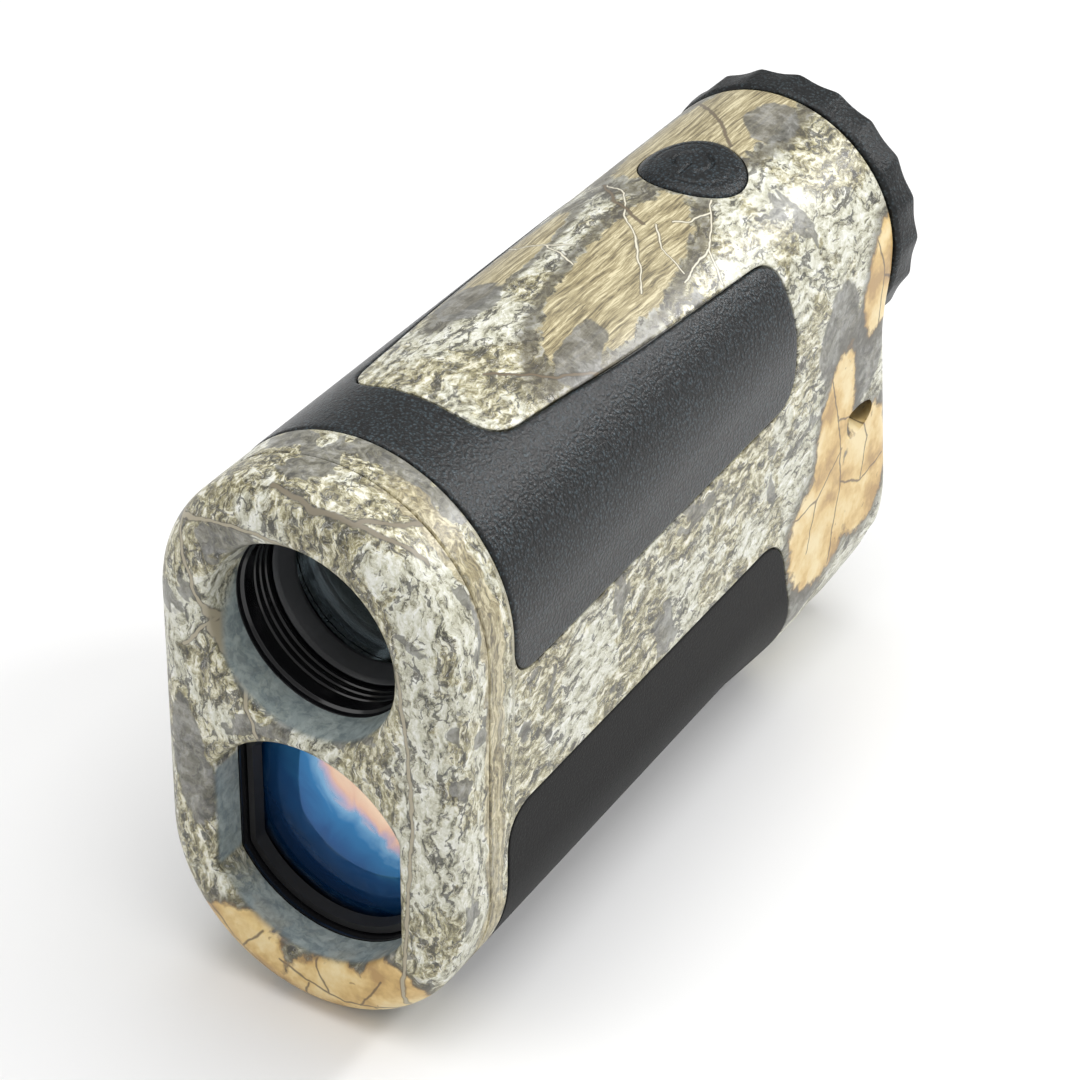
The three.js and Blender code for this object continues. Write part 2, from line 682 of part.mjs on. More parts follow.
function capTab() {
  const plate = frontPrism(roundedOutline([
    [-7, 27.2, 0.2], [7, 27.2, 0.2], [7, 21.6, 2], [4, 18.8, 2], [-4, 18.8, 2], [-7, 21.6, 2],
  ]), 106, 107.5);
  const knuckle = rod('x', 1.25, -7, 7, TAB_PIVOT, 20);
  return cut(union(plate, knuckle), rod('x', TAB_PIN_RADIUS + GAP, -10, 10, TAB_PIVOT, 12));
}

// ---------------------------------------------------------------- assembly

addNode('front_bezel', frontBezel(), CAMO);
addNode('main_housing', mainHousing(), CAMO);
addNode('wrap_grip', wrapGrip(), RUBBER);
addNode('belly_pad', bellyPad(), PAD);
addNode('bezel_gasket', bezelGasket(), SEAL);

addNode('optics_chassis', chassis(), ALUMINIUM);
screwPlaces().forEach((place, i) => addNode(`chassis_screw_${i + 1}`, deckScrew(place), STEEL));
boardScrewPlaces().forEach((place, i) => addNode(`board_screw_${i + 1}`, boardScrew(place), STEEL));

addNode('objective_barrel', objectiveBarrel(), GLOSS_BLACK);
addNode('objective_retaining_ring', retainingRing(), RING_GREY);
addNode('objective_lens_front', lens(11.4, 14.3, 18, 1.2, 0.9, VIEW_AXIS), GLASS);
addNode('objective_lens_rear', lens(11.4, 18.4, 21, -0.9, 0, VIEW_AXIS), GLASS);

addNode('receiver_lens_frame', receiverFrame(), GLOSS_BLACK);
addNode('receiver_retainer', receiverRetainer(), MATT_BLACK);
addNode('receiver_lens', receiverLens(), COATED_GLASS);
addNode('receiver_cone', receiverCone(), MATT_BLACK);
addNode('detector_can', detectorCan(), GOLD);
addNode('detector_board', box(-8, 8, 58.6, 60, 15, 31), BOARD_GREEN);

addNode('prism_bracket', prismBracket(), ALUMINIUM);
addNode('entry_prism', frontPrismBlock(), GLASS);
addNode('roof_prism', roofPrismBlock(), GLASS);
addNode('laser_diode', laserDiode(), GOLD);
addNode('display_frame', displayFrame(), MATT_BLACK);
addNode('display_panel', box(-9, 9, 73.5, 74.9, 47, 65), GLASS);

addNode('ocular_tube', ocularTube(), ALUMINIUM);
addNode('ocular_cell', ocularCell(), MATT_BLACK);
addNode('field_lens', lens(9.1, 85.9, 89.3, 0.8, 0.8, EYE_AXIS, 24), GLASS);
addNode('eye_lens', lens(9.1, 97.5, 101.4, 0.8, 1.2, EYE_AXIS, 24), COATED_GLASS);
addNode('ocular_lock_ring', ring(8.3, 9.1, 101.7, 102.7, EYE_AXIS, 24), MATT_BLACK);
addNode('diopter_eyecup', diopterEyecup(), EYE_RUBBER);
addNode('eyecup_retaining_ring', eyecupRing(), MATT_BLACK);

addNode('power_button', powerButton(), RUBBER);
addNode('power_switch', tactileSwitch(0, BUTTON_STATION, 69.0), STEEL);
addNode('key_board', box(-6.2, 6.2, 77, 91, 67.9, 68.7), BOARD_GREEN);
addNode('mode_button', modeButton(), RUBBER);
addNode('mode_switch', modeSwitch(), STEEL);
addNode('main_board', mainBoard(), BOARD_GREEN);
addNode('processor', box(-10.6, -9.6, 69, 76, 18, 21), CHIP_BLACK);
addNode('laser_board', box(10.9, 11.9, 62, 93, 17, 34.9), BOARD_GREEN);
addNode('storage_capacitor', disc(1.9, 63, 68.6, 31, 20, 8.7), CHIP_BLACK);
addNode('flex_ribbon', flexRibbon(), FLEX_AMBER);

addNode('battery_tube', batteryTube(), MATT_BLACK);
addNode('battery_spring', contactSpring(), STEEL);
addNode('battery', cell(), CELL_WRAP);
addNode('battery_cap', batteryCap(), MATT_BLACK);
addNode('battery_cap_seal', capSeal(), SEAL);
addNode('cap_tab', capTab(), MATT_BLACK);
addNode('cap_tab_pin', rod('x', TAB_PIN_RADIUS, -8.6, 8.6, TAB_PIVOT, 12), STEEL);

model.position.y = -LENGTH / 2;

export default model;
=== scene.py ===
import json
import math

import bmesh
import bpy
import numpy as np
from mathutils import Matrix, Vector
from mathutils.geometry import delaunay_2d_cdt
from mathutils.kdtree import KDTree


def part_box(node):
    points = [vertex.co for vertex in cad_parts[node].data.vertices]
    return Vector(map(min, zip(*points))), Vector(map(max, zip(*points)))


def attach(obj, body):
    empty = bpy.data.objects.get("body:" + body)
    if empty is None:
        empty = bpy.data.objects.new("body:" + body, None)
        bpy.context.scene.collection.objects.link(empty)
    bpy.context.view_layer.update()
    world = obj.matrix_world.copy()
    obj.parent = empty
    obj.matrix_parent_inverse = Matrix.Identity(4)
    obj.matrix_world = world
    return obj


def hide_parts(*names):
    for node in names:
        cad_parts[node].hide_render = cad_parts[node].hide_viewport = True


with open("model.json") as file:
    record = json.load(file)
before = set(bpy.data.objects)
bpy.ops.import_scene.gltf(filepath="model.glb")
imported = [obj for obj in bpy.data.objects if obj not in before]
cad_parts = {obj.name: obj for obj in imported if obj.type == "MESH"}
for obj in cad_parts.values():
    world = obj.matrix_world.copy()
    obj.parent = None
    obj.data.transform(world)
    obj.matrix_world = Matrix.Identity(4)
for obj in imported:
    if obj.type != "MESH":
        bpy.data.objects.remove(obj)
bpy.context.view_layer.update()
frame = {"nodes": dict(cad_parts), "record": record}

# ---------------------------------------------------------------- driving dimensions
# Millimetres. A station is the distance behind the front face, and heights start at the sole.

MM = 0.001
FRONT_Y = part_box("front_bezel")[0].y
FRONT_RADIUS = 20.44
UPPER_REAR_RADIUS = 16.92
LOWER_REAR_RADIUS = 16.0
UPPER_CENTRE = 52.03
UPPER_RISE = 0.041
LOWER_CENTRE = 20.56
LOWER_RISE = -0.008
BODY_END = 103.2
FRONT_FILLET = 4.2
REAR_FILLET = 2.4
BEZEL_END = 8.18
HOUSING_START = 8.36
FOOT_START = 70
FOOT_PEAK = 86
FOOT_SWELL = 1.5
FOOT_END_SWELL = 0.3
LEAN_TOP = 46
LEAN_TOE = 21
LEAN = 3.8
LEAN_START = 92
SOLE_HALF_WIDTH = 7.5
SOLE_START = 9
SOLE_FULL = 16
ARCH_START = 42
ARCH_END = 84
ARCH_HEIGHT = 1.1
WALL = 2.6
GRIP_DEPTH = 1.0
GRIP_SEAT = 1.25
FRONT_LIP = 0.22
CAVITY_END = 100.6
VIEW_AXIS = 52.4
EYE_AXIS = 56.0
RECEIVER_AXIS = 22.9
BATTERY_AXIS = 27.0
BUTTON_STATION = 82.8
BUTTON_HALF_WIDTH = 6.8
BUTTON_HALF_LENGTH = 6.1
MODE_STATION = 88.0
MODE_HEIGHT = 30.0
MODE_HALF_HEIGHT = 3.0
MODE_HALF_LENGTH = 4.0
HOLE_GAP = 0.1
KEY_GAP = 0.02

# Angle between faces, in degrees, from which an edge shades as sharp.
SHARP_ANGLE = 32.0


def station(node, corner):
    """Front (0) or rear (1) station of a CAD node."""
    return (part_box(node)[corner].y - FRONT_Y) / MM


def to_frame(points):
    """Points in millimetres and stations, as metres in the shared frame."""
    points = np.asarray(points, float) * MM
    points[:, 1] += FRONT_Y
    return points


# ---------------------------------------------------------------- body surface


def smooth(t):
    t = np.clip(t, 0, 1)
    return t * t * (3 - 2 * t)


def blend(a, b, t):
    return a + (b - a) * t


def upper_radius(y):
    return blend(FRONT_RADIUS, UPPER_REAR_RADIUS, y / BODY_END)


def lower_radius(y):
    return blend(FRONT_RADIUS, LOWER_REAR_RADIUS, y / BODY_END)


def upper_centre(y):
    return UPPER_CENTRE + UPPER_RISE * y


def lower_centre(y):
    return LOWER_CENTRE + LOWER_RISE * y


def foot_swell(y):
    rise = smooth((y - FOOT_START) / (FOOT_PEAK - FOOT_START))
    fall = np.clip((y - FOOT_PEAK) / (BODY_END - FOOT_PEAK), 0, 1)
    return rise * blend(FOOT_SWELL, FOOT_END_SWELL, fall)


def lean(y, z):
    along = np.clip((y - LEAN_START) / (BODY_END - LEAN_START), 0, 1)
    return LEAN * along * np.clip((LEAN_TOP - z) / (LEAN_TOP - LEAN_TOE), 0, 1)


SOLE_INSET_SHARE = 0.4
LEAST_SINE = 0.2
CORNER_TURNS = (-0.09, -0.045, 0.0, 0.045, 0.09)


def sharp_reach(y, inset, angle):
    """Reach of the lower half from its centre: half-round, straight flank, then the flat sole."""
    radius = lower_radius(y) - inset + foot_swell(y) * np.sin(angle)
    width = SOLE_HALF_WIDTH * smooth((y - SOLE_START) / (SOLE_FULL - SOLE_START))
    width = width - SOLE_INSET_SHARE * inset
    arch = np.sin(np.pi * np.clip((y - ARCH_START) / (ARCH_END - ARCH_START), 0, 1)) ** 2
    depth = lower_centre(y) - ARCH_HEIGHT * arch - inset
    corner = np.hypot(width, depth)
    corner_angle = np.arctan2(depth, np.maximum(width, 1e-6))
    tangent_angle = corner_angle - np.arccos(np.clip(radius / corner, -1, 1))
    slope = np.pi / 2 - np.abs(angle - np.pi / 2)
    flank = radius / np.cos(np.clip(slope - tangent_angle, 0, 1))
    sole = depth / np.maximum(np.sin(slope), LEAST_SINE)
    reach = np.where(slope > tangent_angle, flank, radius)
    reach = np.where(slope >= corner_angle, sole, reach)
    return np.where((width <= 0) | (radius >= corner), radius, reach)


def lower_reach(y, inset, angle):
    """The same reach with the sole's corners rounded off, by a mean over small turns."""
    turned_by = [sharp_reach(y, inset, np.clip(angle + k, 0, np.pi)) for k in CORNER_TURNS]
    depth = lower_centre(y) - inset
    return np.minimum(sum(turned_by) / len(turned_by), depth / np.maximum(np.sin(angle), LEAST_SINE))


# The skin is unrolled: u runs round the section from the top's middle line, to the right side
# where it is positive, and v runs along the length and on over the rear edge's rounding.
ROLL_RADIUS = 18.6
QUARTER = ROLL_RADIUS * math.pi / 2
SIDE = 31.6
HALF_GIRTH = 2 * QUARTER + SIDE
REAR_EDGE = BODY_END - REAR_FILLET
SKIN_END = REAR_EDGE + REAR_FILLET * math.pi / 2
SEAM = -(QUARTER + 0.45 * SIDE)
GIRTH_STEPS = np.linspace(SEAM, SEAM + 2 * HALF_GIRTH, 181)
REAR_ROUND_LEAST = 0.12
REAR_ROUND_START = QUARTER + 2
REAR_ROUND_RUN = 9


def skin(u, v, inset):
    """Points of the body surface, in millimetres, from unrolled coordinates."""
    u = (np.asarray(u, float) + HALF_GIRTH) % (2 * HALF_GIRTH) - HALF_GIRTH
    v = np.asarray(v, float)
    side = np.where(u < 0, -1.0, 1.0)
    run = np.abs(u)
    turn = np.clip((v - REAR_EDGE) / REAR_FILLET, 0, math.pi / 2)
    share = rear_round_share(run)
    y = np.minimum(v, REAR_EDGE) + REAR_FILLET * np.sin(turn)
    inset = inset + share * REAR_FILLET * (1 - np.cos(turn))
    phi = np.clip(run / ROLL_RADIUS, 0, math.pi / 2)
    top_x = (upper_radius(y) - inset) * np.sin(phi)
    top_z = upper_centre(y) + (upper_radius(y) - inset) * np.cos(phi)
    psi = np.clip((run - QUARTER - SIDE) / ROLL_RADIUS, 0, math.pi / 2)
    reach = lower_reach(y, inset, psi)
    low_x, low_z = reach * np.cos(psi), lower_centre(y) - reach * np.sin(psi)
    tau = np.clip((run - QUARTER) / SIDE, 0, 1)
    x = np.where(run < QUARTER, top_x, blend(upper_radius(y) - inset, low_x, tau))
    z = np.where(run < QUARTER, top_z, blend(upper_centre(y), low_z, tau))
    x = np.where(run > QUARTER + SIDE, low_x, x)
    z = np.where(run > QUARTER + SIDE, low_z, z)
    return np.stack([side * x, y + lean(y, z), z], -1)


def rear_round_share(run):
    """How much of the rear rounding a place on the girth gets: little beside the eyecup."""
    grown = smooth((run - REAR_ROUND_START) / REAR_ROUND_RUN)
    return REAR_ROUND_LEAST + (1 - REAR_ROUND_LEAST) * grown


def side_u(y, z):
    """Unrolled u of a point on the right side, by its height."""
    if z > upper_centre(y):
        return ROLL_RADIUS * math.acos(min((z - upper_centre(y)) / upper_radius(y), 1))
    if z > lower_centre(y):
        return QUARTER + SIDE * (upper_centre(y) - z) / (upper_centre(y) - lower_centre(y))
    return QUARTER + SIDE + ROLL_RADIUS * math.asin(min((lower_centre(y) - z) / lower_radius(y), 1))


# ---------------------------------------------------------------- outlines


def corner_curve(before, here, after, reach, count):
    """Points of a rounded corner. before and after are the ways to its neighbours."""
    start = here + before / np.linalg.norm(before) * reach
    end = here + after / np.linalg.norm(after) * reach
    steps = [k / count for k in range(count + 1)]
    return [(1 - t) ** 2 * start + 2 * t * (1 - t) * here + t * t * end for t in steps]


def rounded(corners, step=0.6):
    """Closed outline with every corner rounded to its own radius: corners are (a, b, radius)."""
    points = []
    for i, (a, b, radius) in enumerate(corners):
        here = np.array([a, b])
        before = np.array(corners[i - 1][:2]) - here
        after = np.array(corners[(i + 1) % len(corners)][:2]) - here
        points += corner_curve(before, here, after, radius, max(2, int(radius * 1.5 / step)))
    return resampled(np.array(points), step)


def resampled(points, step):
    """Closed outline with evenly spaced points."""
    closed = np.vstack([points, points[:1]])
    lengths = np.r_[0, np.cumsum(np.linalg.norm(np.diff(closed, axis=0), axis=1))]
    count = int(lengths[-1] / step)
    at = np.linspace(0, lengths[-1], count, endpoint=False)
    return np.stack([np.interp(at, lengths, closed[:, k]) for k in range(2)], -1)


def shifted(outline, offset):
    """Outline moved outwards by an offset, for an outline that runs anticlockwise."""
    ahead = np.roll(outline, -1, axis=0) - np.roll(outline, 1, axis=0)
    normal = np.stack([ahead[:, 1], -ahead[:, 0]], -1)
    normal /= np.linalg.norm(normal, axis=1, keepdims=True)
    return outline + normal * offset


def anticlockwise(outline):
    a, b = outline[:, 0], outline[:, 1]
    area = np.sum(a * np.roll(b, -1) - b * np.roll(a, -1))
    return outline if area > 0 else outline[::-1].copy()


def mirrored(corners):
    """Full outline from its right half, which starts and ends on the middle line."""
    left = [(-a, b, radius) for a, b, radius in reversed(corners)]
    return anticlockwise(rounded(list(corners) + left))


def wrap_outline():
    """The wrap-round grip: a band over the top with a long wing down each side."""
    return mirrored([
        (3.0, 13.8, 0.5),
        (side_u(13.8, 47.2), 13.8, 4.5),
        (side_u(78.4, 48.4), 78.4, 4.5),
        (16.1, 78.6, 3.6),
        (14.4, 62.0, 6.0),
        (13.0, 47.5, 6.0),
        (11.1, 34.0, 4.0),
        (10.1, 24.1, 5.2),
        (2.0, 23.9, 1.0),
    ])


def pad_outline():
    """The belly pad: drawn from the underside's middle line, then turned to where it lies."""
    def corner(y, z, radius):
        return (HALF_GIRTH - side_u(y, z), y, radius)
    outline = mirrored([
        (3.0, 84.4, 1.0),
        (11.0, 83.9, 3.0),
        corner(80.0, 17.0, 6.0),
        corner(77.0, 28.9, 5.0),
        corner(12.3, 28.9, 5.0),
        (3.0, 12.3, 0.5),
    ])
    outline[:, 0] = HALF_GIRTH - outline[:, 0]
    return anticlockwise(outline)


def ellipse(half_a, half_b, centre, count):
    angle = np.arange(count) * 2 * math.pi / count
    return np.stack([centre[0] + half_a * np.cos(angle), centre[1] + half_b * np.sin(angle)], -1)


def oval(half_a, half_b, centre=(0.0, 0.0), step=0.5):
    return ellipse(half_a, half_b, centre, int(2 * math.pi * max(half_a, half_b) / step))


def inside(points, outline):
    """Which points lie inside a closed outline, by crossings."""
    x, y = points[:, 0], points[:, 1]
    hit = np.zeros(len(points), bool)
    for (x0, y0), (x1, y1) in zip(outline, np.roll(outline, -1, axis=0)):
        if y0 == y1:
            continue
        crosses = (y0 > y) != (y1 > y)
        hit ^= crosses & (x < x0 + (y - y0) * (x1 - x0) / (y1 - y0))
    return hit


def lattice(low, high, spacing):
    """Points of a staggered grid inside a box."""
    rows = np.arange(low[1] + spacing / 2, high[1], spacing * 0.87)
    points = []
    for i, b in enumerate(rows):
        first = low[0] + spacing * (0.25 if i % 2 else 0.75)
        a = np.arange(first, high[0], spacing)
        points.append(np.stack([a, np.full(len(a), b)], -1))
    return np.vstack(points)


def away_from(points, others, distance):
    """The points that keep a distance from all the others."""
    tree = KDTree(len(others))
    for i, (a, b) in enumerate(others):
        tree.insert((a, b, 0), i)
    tree.balance()
    return np.array([p for p in points if tree.find((*p, 0))[2] > distance])


SLIVER = 0.0001


def triangulated(loops, extra, limit=None):
    """Constrained triangulation of closed loops and loose points, with one value for each point.

    loops are pairs of points and a value, and extra is such a pair of loose points. Triangles
    outside the limit loop and slivers are left out."""
    points = np.vstack([loop for loop, _ in loops] + [extra[0]])
    values = np.concatenate([np.broadcast_to(v, len(p)) for p, v in [*loops, extra]])
    edges = []
    start = 0
    for loop, _ in loops:
        count = len(loop)
        edges += [(start + i, start + (i + 1) % count) for i in range(count)]
        start += count
    verts, _, faces, origin, _, _ = delaunay_2d_cdt(
        [Vector(p) for p in points], edges, [], 0, 1e-5, True)
    flat = np.array([tuple(v) for v in verts])
    depth = np.array([values[ids[0]] if ids else 0.0 for ids in origin])
    triangles = np.array([f for f in faces if len(f) == 3])
    a, b, c = (flat[triangles[:, k]] for k in range(3))
    ab, ac = b - a, c - a
    area = np.abs(ab[:, 0] * ac[:, 1] - ab[:, 1] * ac[:, 0]) / 2
    triangles = triangles[area > SLIVER]
    if limit is not None:
        middles = flat[triangles].mean(axis=1)
        triangles = triangles[inside(middles, limit)]
    return flat, depth, triangles


# ---------------------------------------------------------------- mesh making


def mesh_object(name, points, faces, sharp=SHARP_ANGLE):
    """New object from points in millimetres, welded, closed and shaded smooth up to an angle."""
    mesh = bpy.data.meshes.new(name)
    mesh.from_pydata(to_frame(points).tolist(), [], [list(map(int, f)) for f in faces])
    work = bmesh.new()
    work.from_mesh(mesh)
    bmesh.ops.remove_doubles(work, verts=work.verts, dist=2e-6)
    loose = [v for v in work.verts if not v.link_faces]
    bmesh.ops.delete(work, geom=loose, context="VERTS")
    bmesh.ops.recalc_face_normals(work, faces=work.faces)
    work.to_mesh(mesh)
    work.free()
    obj = bpy.data.objects.new(name, mesh)
    bpy.context.scene.collection.objects.link(obj)
    shade(obj, sharp)
    return obj


def shade(obj, sharp):
    obj.data.shade_smooth()
    obj.data.set_sharp_from_angle(angle=math.radians(sharp))


def bake(obj):
    """Applies an object's modifiers."""
    view = bpy.context.evaluated_depsgraph_get()
    view.update()
    mesh = bpy.data.meshes.new_from_object(obj.evaluated_get(view))
    obj.modifiers.clear()
    obj.data = mesh


def boolean(obj, others, operation="DIFFERENCE", sharp=SHARP_ANGLE):
    """Cuts or joins other solids, uses them up, and shades the result."""
    for other in others:
        modifier = obj.modifiers.new("boolean", "BOOLEAN")
        modifier.operation = operation
        modifier.solver = "MANIFOLD"
        modifier.object = other
        bake(obj)
        bpy.data.objects.remove(other)
    shade(obj, sharp)
    return obj


def joined(name, parts):
    """One object from several pairs of points and faces."""
    faces = []
    start = 0
    for points, part_faces in parts:
        faces += [[start + i for i in face] for face in part_faces]
        start += len(points)
    return mesh_object(name, np.vstack([points for points, _ in parts]), faces)


def rounded_profile(profile, radius, closed=True):
    """Turned profile with its corners rounded; points on the axis stay sharp."""
    points = []
    count = len(profile)
    for i, here in enumerate(profile):
        here = np.array(here, float)
        end = not closed and i in (0, count - 1)
        if end or here[0] == 0:
            points.append(here)
            continue
        before = np.array(profile[i - 1], float) - here
        after = np.array(profile[(i + 1) % count], float) - here
        reach = min(radius, 0.4 * np.linalg.norm(before), 0.4 * np.linalg.norm(after))
        points += corner_curve(before, here, after, reach, 3)
    return points


def turned(name, profile, height, segments=96, closed=True, soften=0.25, wave=None):
    """Turned piece about the Y direction. profile is (radius, station), closed on itself or
    starting and ending on the axis; wave changes the radius by station and angle."""
    if soften:
        profile = rounded_profile(profile, soften, closed)
    angles = np.arange(segments) * 2 * math.pi / segments
    points = []
    rings = []
    for radius, y in profile:
        if radius < 1e-6:
            rings.append([len(points)])
            points.append((0.0, y, height))
            continue
        reach = np.full(segments, radius) if wave is None else wave(radius, y, angles)
        rings.append(list(range(len(points), len(points) + segments)))
        points += [(r * math.cos(a), y, height + r * math.sin(a)) for r, a in zip(reach, angles)]
    faces = []
    pairs = list(zip(rings, rings[1:])) + ([(rings[-1], rings[0])] if closed else [])
    for one, two in pairs:
        for i in range(segments):
            j = (i + 1) % segments
            quad = [one[i % len(one)], one[j % len(one)], two[j % len(two)], two[i % len(two)]]
            face = list(dict.fromkeys(quad))
            if len(face) > 2:
                faces.append(face)
    return mesh_object(name, points, faces)


def cylinder(name, radius, y0, y1, height):
    profile = [(0, y0), (radius, y0), (radius, y1), (0, y1)]
    return turned(name, profile, height, closed=False, soften=0)


def strips(rows, count):
    """Quads between neighbouring rings of equal length."""
    faces = []
    for r in range(rows - 1):
        for i in range(count):
            j = (i + 1) % count
            faces.append([r * count + i, r * count + j, (r + 1) * count + j, (r + 1) * count + i])
    return faces


def lofted(name, rings, sharp=SHARP_ANGLE):
    """Closed skin through rings of equal length, with flat ends."""
    points = np.vstack(rings)
    count = len(rings[0])
    ends = [list(range(count)), list(range(len(points) - count, len(points)))]
    return mesh_object(name, points, ends + strips(len(rings), count), sharp)


def prism(name, outline, axis, low, high):
    """Straight solid along an axis. The outline is drawn in the other two, in their order."""
    outline = anticlockwise(outline)
    return lofted(name, [np.insert(outline, "xyz".index(axis), level, 1) for level in (low, high)])


def section_ring(y, inset, count=120):
    """Ring of the body's section, all at one station."""
    u = (np.arange(count) + 0.5) / count * 2 * HALF_GIRTH - HALF_GIRTH
    points = skin(u, np.full(count, y), inset)
    points[:, 1] = y
    return points


def clipped_loft(name, rows, count=160):
    """Solid through circles on the receiver's axis, cut by two upright flats.

    rows are (radius, half width between the flats, station)."""
    angle = (np.arange(count) + 0.5) * 2 * math.pi / count
    rings = []
    for radius, flat, y in rows:
        x = np.clip(radius * np.cos(angle), -flat, flat)
        rings.append(np.stack([x, np.full(count, y), RECEIVER_AXIS + radius * np.sin(angle)], -1))
    return lofted(name, rings)


# ---------------------------------------------------------------- skin pieces


def solid_patch(name, outline, rows, top_inset, back_inset, spacing):
    """Closed armour piece: a crowned top skin, its rounded edge, and a plain back.

    rows are (offset from the outline, inset below the body surface), from the back's edge in."""
    loops = [(shifted(outline, offset), inset) for offset, inset in rows]
    last = loops[-1][0]
    grid = lattice(outline.min(axis=0), outline.max(axis=0), spacing)
    grid = away_from(grid[inside(grid, last)], last, spacing * 0.6)
    flat, inset, top = triangulated(loops, (grid, top_inset), outline)
    coarse = grid[::3]
    back_flat, _, back = triangulated([(outline, 0.0)], (coarse, 0.0), outline)
    points = np.vstack([
        skin(flat[:, 0], flat[:, 1], inset),
        skin(back_flat[:, 0], back_flat[:, 1], np.full(len(back_flat), back_inset)),
    ])
    faces = np.vstack([top, back + len(flat)])
    return mesh_object(name, points, faces)


GRIP_EDGE = [
    (0.0, GRIP_DEPTH - 0.05), (-0.015, 0.36), (-0.06, 0.16), (-0.16, 0.02), (-0.32, -0.05), (-0.55, -0.08)]
SEAT_EDGE = [(0.5, 0.0), (0.3, 0.02), (0.18, 0.1), (0.13, 0.26), (0.11, GRIP_SEAT), (-0.9, GRIP_SEAT)]
HOLE_EDGE = [(0.45, 0.0), (0.28, 0.03), (0.17, 0.12), (0.13, 0.3), (0.11, 1.2), (-0.8, 1.2)]


def make_wrap_grip():
    return solid_patch("wrap_grip_rubber", wrap_outline(), GRIP_EDGE, -0.08, GRIP_DEPTH - 0.05, 1.0)


def make_belly_pad():
    pad_edge = [(offset, max(inset, 0.0)) for offset, inset in GRIP_EDGE]
    return solid_patch("belly_pad_rubber", pad_outline(), pad_edge, 0.0, GRIP_DEPTH - 0.05, 1.1)


def housing_skin():
    """Outside of the main housing, with the seats for the armour and the holes for the buttons."""
    low = np.array([SEAM, HOUSING_START])
    high = np.array([SEAM + 2 * HALF_GIRTH, SKIN_END])
    mode_u = 2 * HALF_GIRTH - side_u(MODE_STATION, MODE_HEIGHT)
    seats = [
        (wrap_outline(), SEAT_EDGE),
        (pad_outline(), SEAT_EDGE),
        (oval(BUTTON_HALF_WIDTH, BUTTON_HALF_LENGTH, (0, BUTTON_STATION)), HOLE_EDGE),
        (oval(MODE_HALF_HEIGHT, MODE_HALF_LENGTH, (mode_u, MODE_STATION)), HOLE_EDGE),
    ]
    loops = []
    for outline, rows in seats:
        loops += [(shifted(outline, offset), inset) for offset, inset in rows]
    girth_rows = [(low[1] + rise, inset) for rise, inset in ((0.0, FRONT_LIP), (0.06, 0.1), (0.2, 0.0))]
    girth_rows += [(v, 0.0) for v in np.linspace(REAR_EDGE, SKIN_END, 9)]
    lines = []
    line_insets = []
    for v, inset in girth_rows:
        lines.append(np.stack([GIRTH_STEPS, np.full(len(GIRTH_STEPS), v)], -1))
        line_insets += [inset] * len(GIRTH_STEPS)
    seam_v = np.arange(low[1] + 1.2, REAR_EDGE - 0.5, 1.0)
    for u in (low[0], high[0]):
        lines.append(np.stack([np.full(len(seam_v), u), seam_v], -1))
        line_insets += [0.0] * len(seam_v)
    fixed = np.vstack([loop for loop, _ in loops] + lines)
    grid = away_from(lattice(low, [high[0], REAR_EDGE], 1.0), fixed, 0.6)
    seated = np.zeros(len(grid), bool)
    for outline, _ in seats:
        seated |= inside(grid, outline)
    insets = np.concatenate([line_insets, np.where(seated, GRIP_SEAT, 0.0)])
    flat, inset, triangles = triangulated(loops, (np.vstack(lines + [grid]), insets))
    return skin(flat[:, 0], flat[:, 1], inset), triangles


def end_cap(u, v, inset, spacing, leaning):
    """Flat end inside a section ring, as points and triangles."""
    ring = skin(u, np.full(len(u), v), inset)[:-1]
    outline = anticlockwise(ring[:, [0, 2]])
    grid = lattice(outline.min(axis=0), outline.max(axis=0), spacing)
    grid = away_from(grid[inside(grid, outline)], outline, spacing * 0.5)
    flat, _, triangles = triangulated([(outline, 0.0)], (grid, 0.0), outline)
    y = np.full(len(flat), ring[:, 1].min())
    if leaning:
        y = BODY_END + lean(np.full(len(flat), BODY_END), flat[:, 1])
    return np.stack([flat[:, 0], y, flat[:, 1]], -1), triangles


def make_housing():
    housing = joined("main_housing_shell", [
        housing_skin(),
        end_cap(GIRTH_STEPS, HOUSING_START, FRONT_LIP, 4.0, False),
        end_cap(GIRTH_STEPS, SKIN_END, 0.0, 1.6, True)])
    stations = [HOUSING_START - 1, 16, 30, 42, 52, 63, 74, 84, 92, CAVITY_END]
    button_hole = oval(
        BUTTON_HALF_WIDTH + HOLE_GAP, BUTTON_HALF_LENGTH + HOLE_GAP, (0, BUTTON_STATION))
    mode_hole = oval(
        MODE_HALF_LENGTH + HOLE_GAP, MODE_HALF_HEIGHT + HOLE_GAP, (MODE_STATION, MODE_HEIGHT))
    eyecup_seat = rounded_profile([(0, 103.2), (17.9, 103.2), (17.9, 112), (0, 112)], 0.4, False)
    battery_seat = [
        (0, 103.6), (10.75, 103.6), (10.75, 105.9), (11.6, 107.6), (11.6, 112), (0, 112)]
    return boolean(housing, [
        lofted("cavity", [section_ring(y, WALL) for y in stations]),
        prism("button_hole", button_hole, "z", 60, 76),
        prism("mode_hole", mode_hole, "x", -18.5, -8),
        cylinder("eyepiece_hole", 11.75, 98, 112, EYE_AXIS),
        turned("eyecup_seat", eyecup_seat, EYE_AXIS, 128, False, 0),
        cylinder("battery_hole", 8.9, 98, 112, BATTERY_AXIS),
        turned("battery_seat", battery_seat, BATTERY_AXIS, 128, False, 0.5),
        notch_cutter(),
        eyelet_cutter(),
    ])


def notch_cutter():
    """Undercut below the overhanging rear face."""
    outline = rounded([
        (102.4, -4, 1), (102.4, 14.4, 1.6), (106.2, 14.7, 1.5), (112, 20.5, 1), (112, -4, 1)], 0.3)
    return prism("notch", outline, "x", -26, 26)


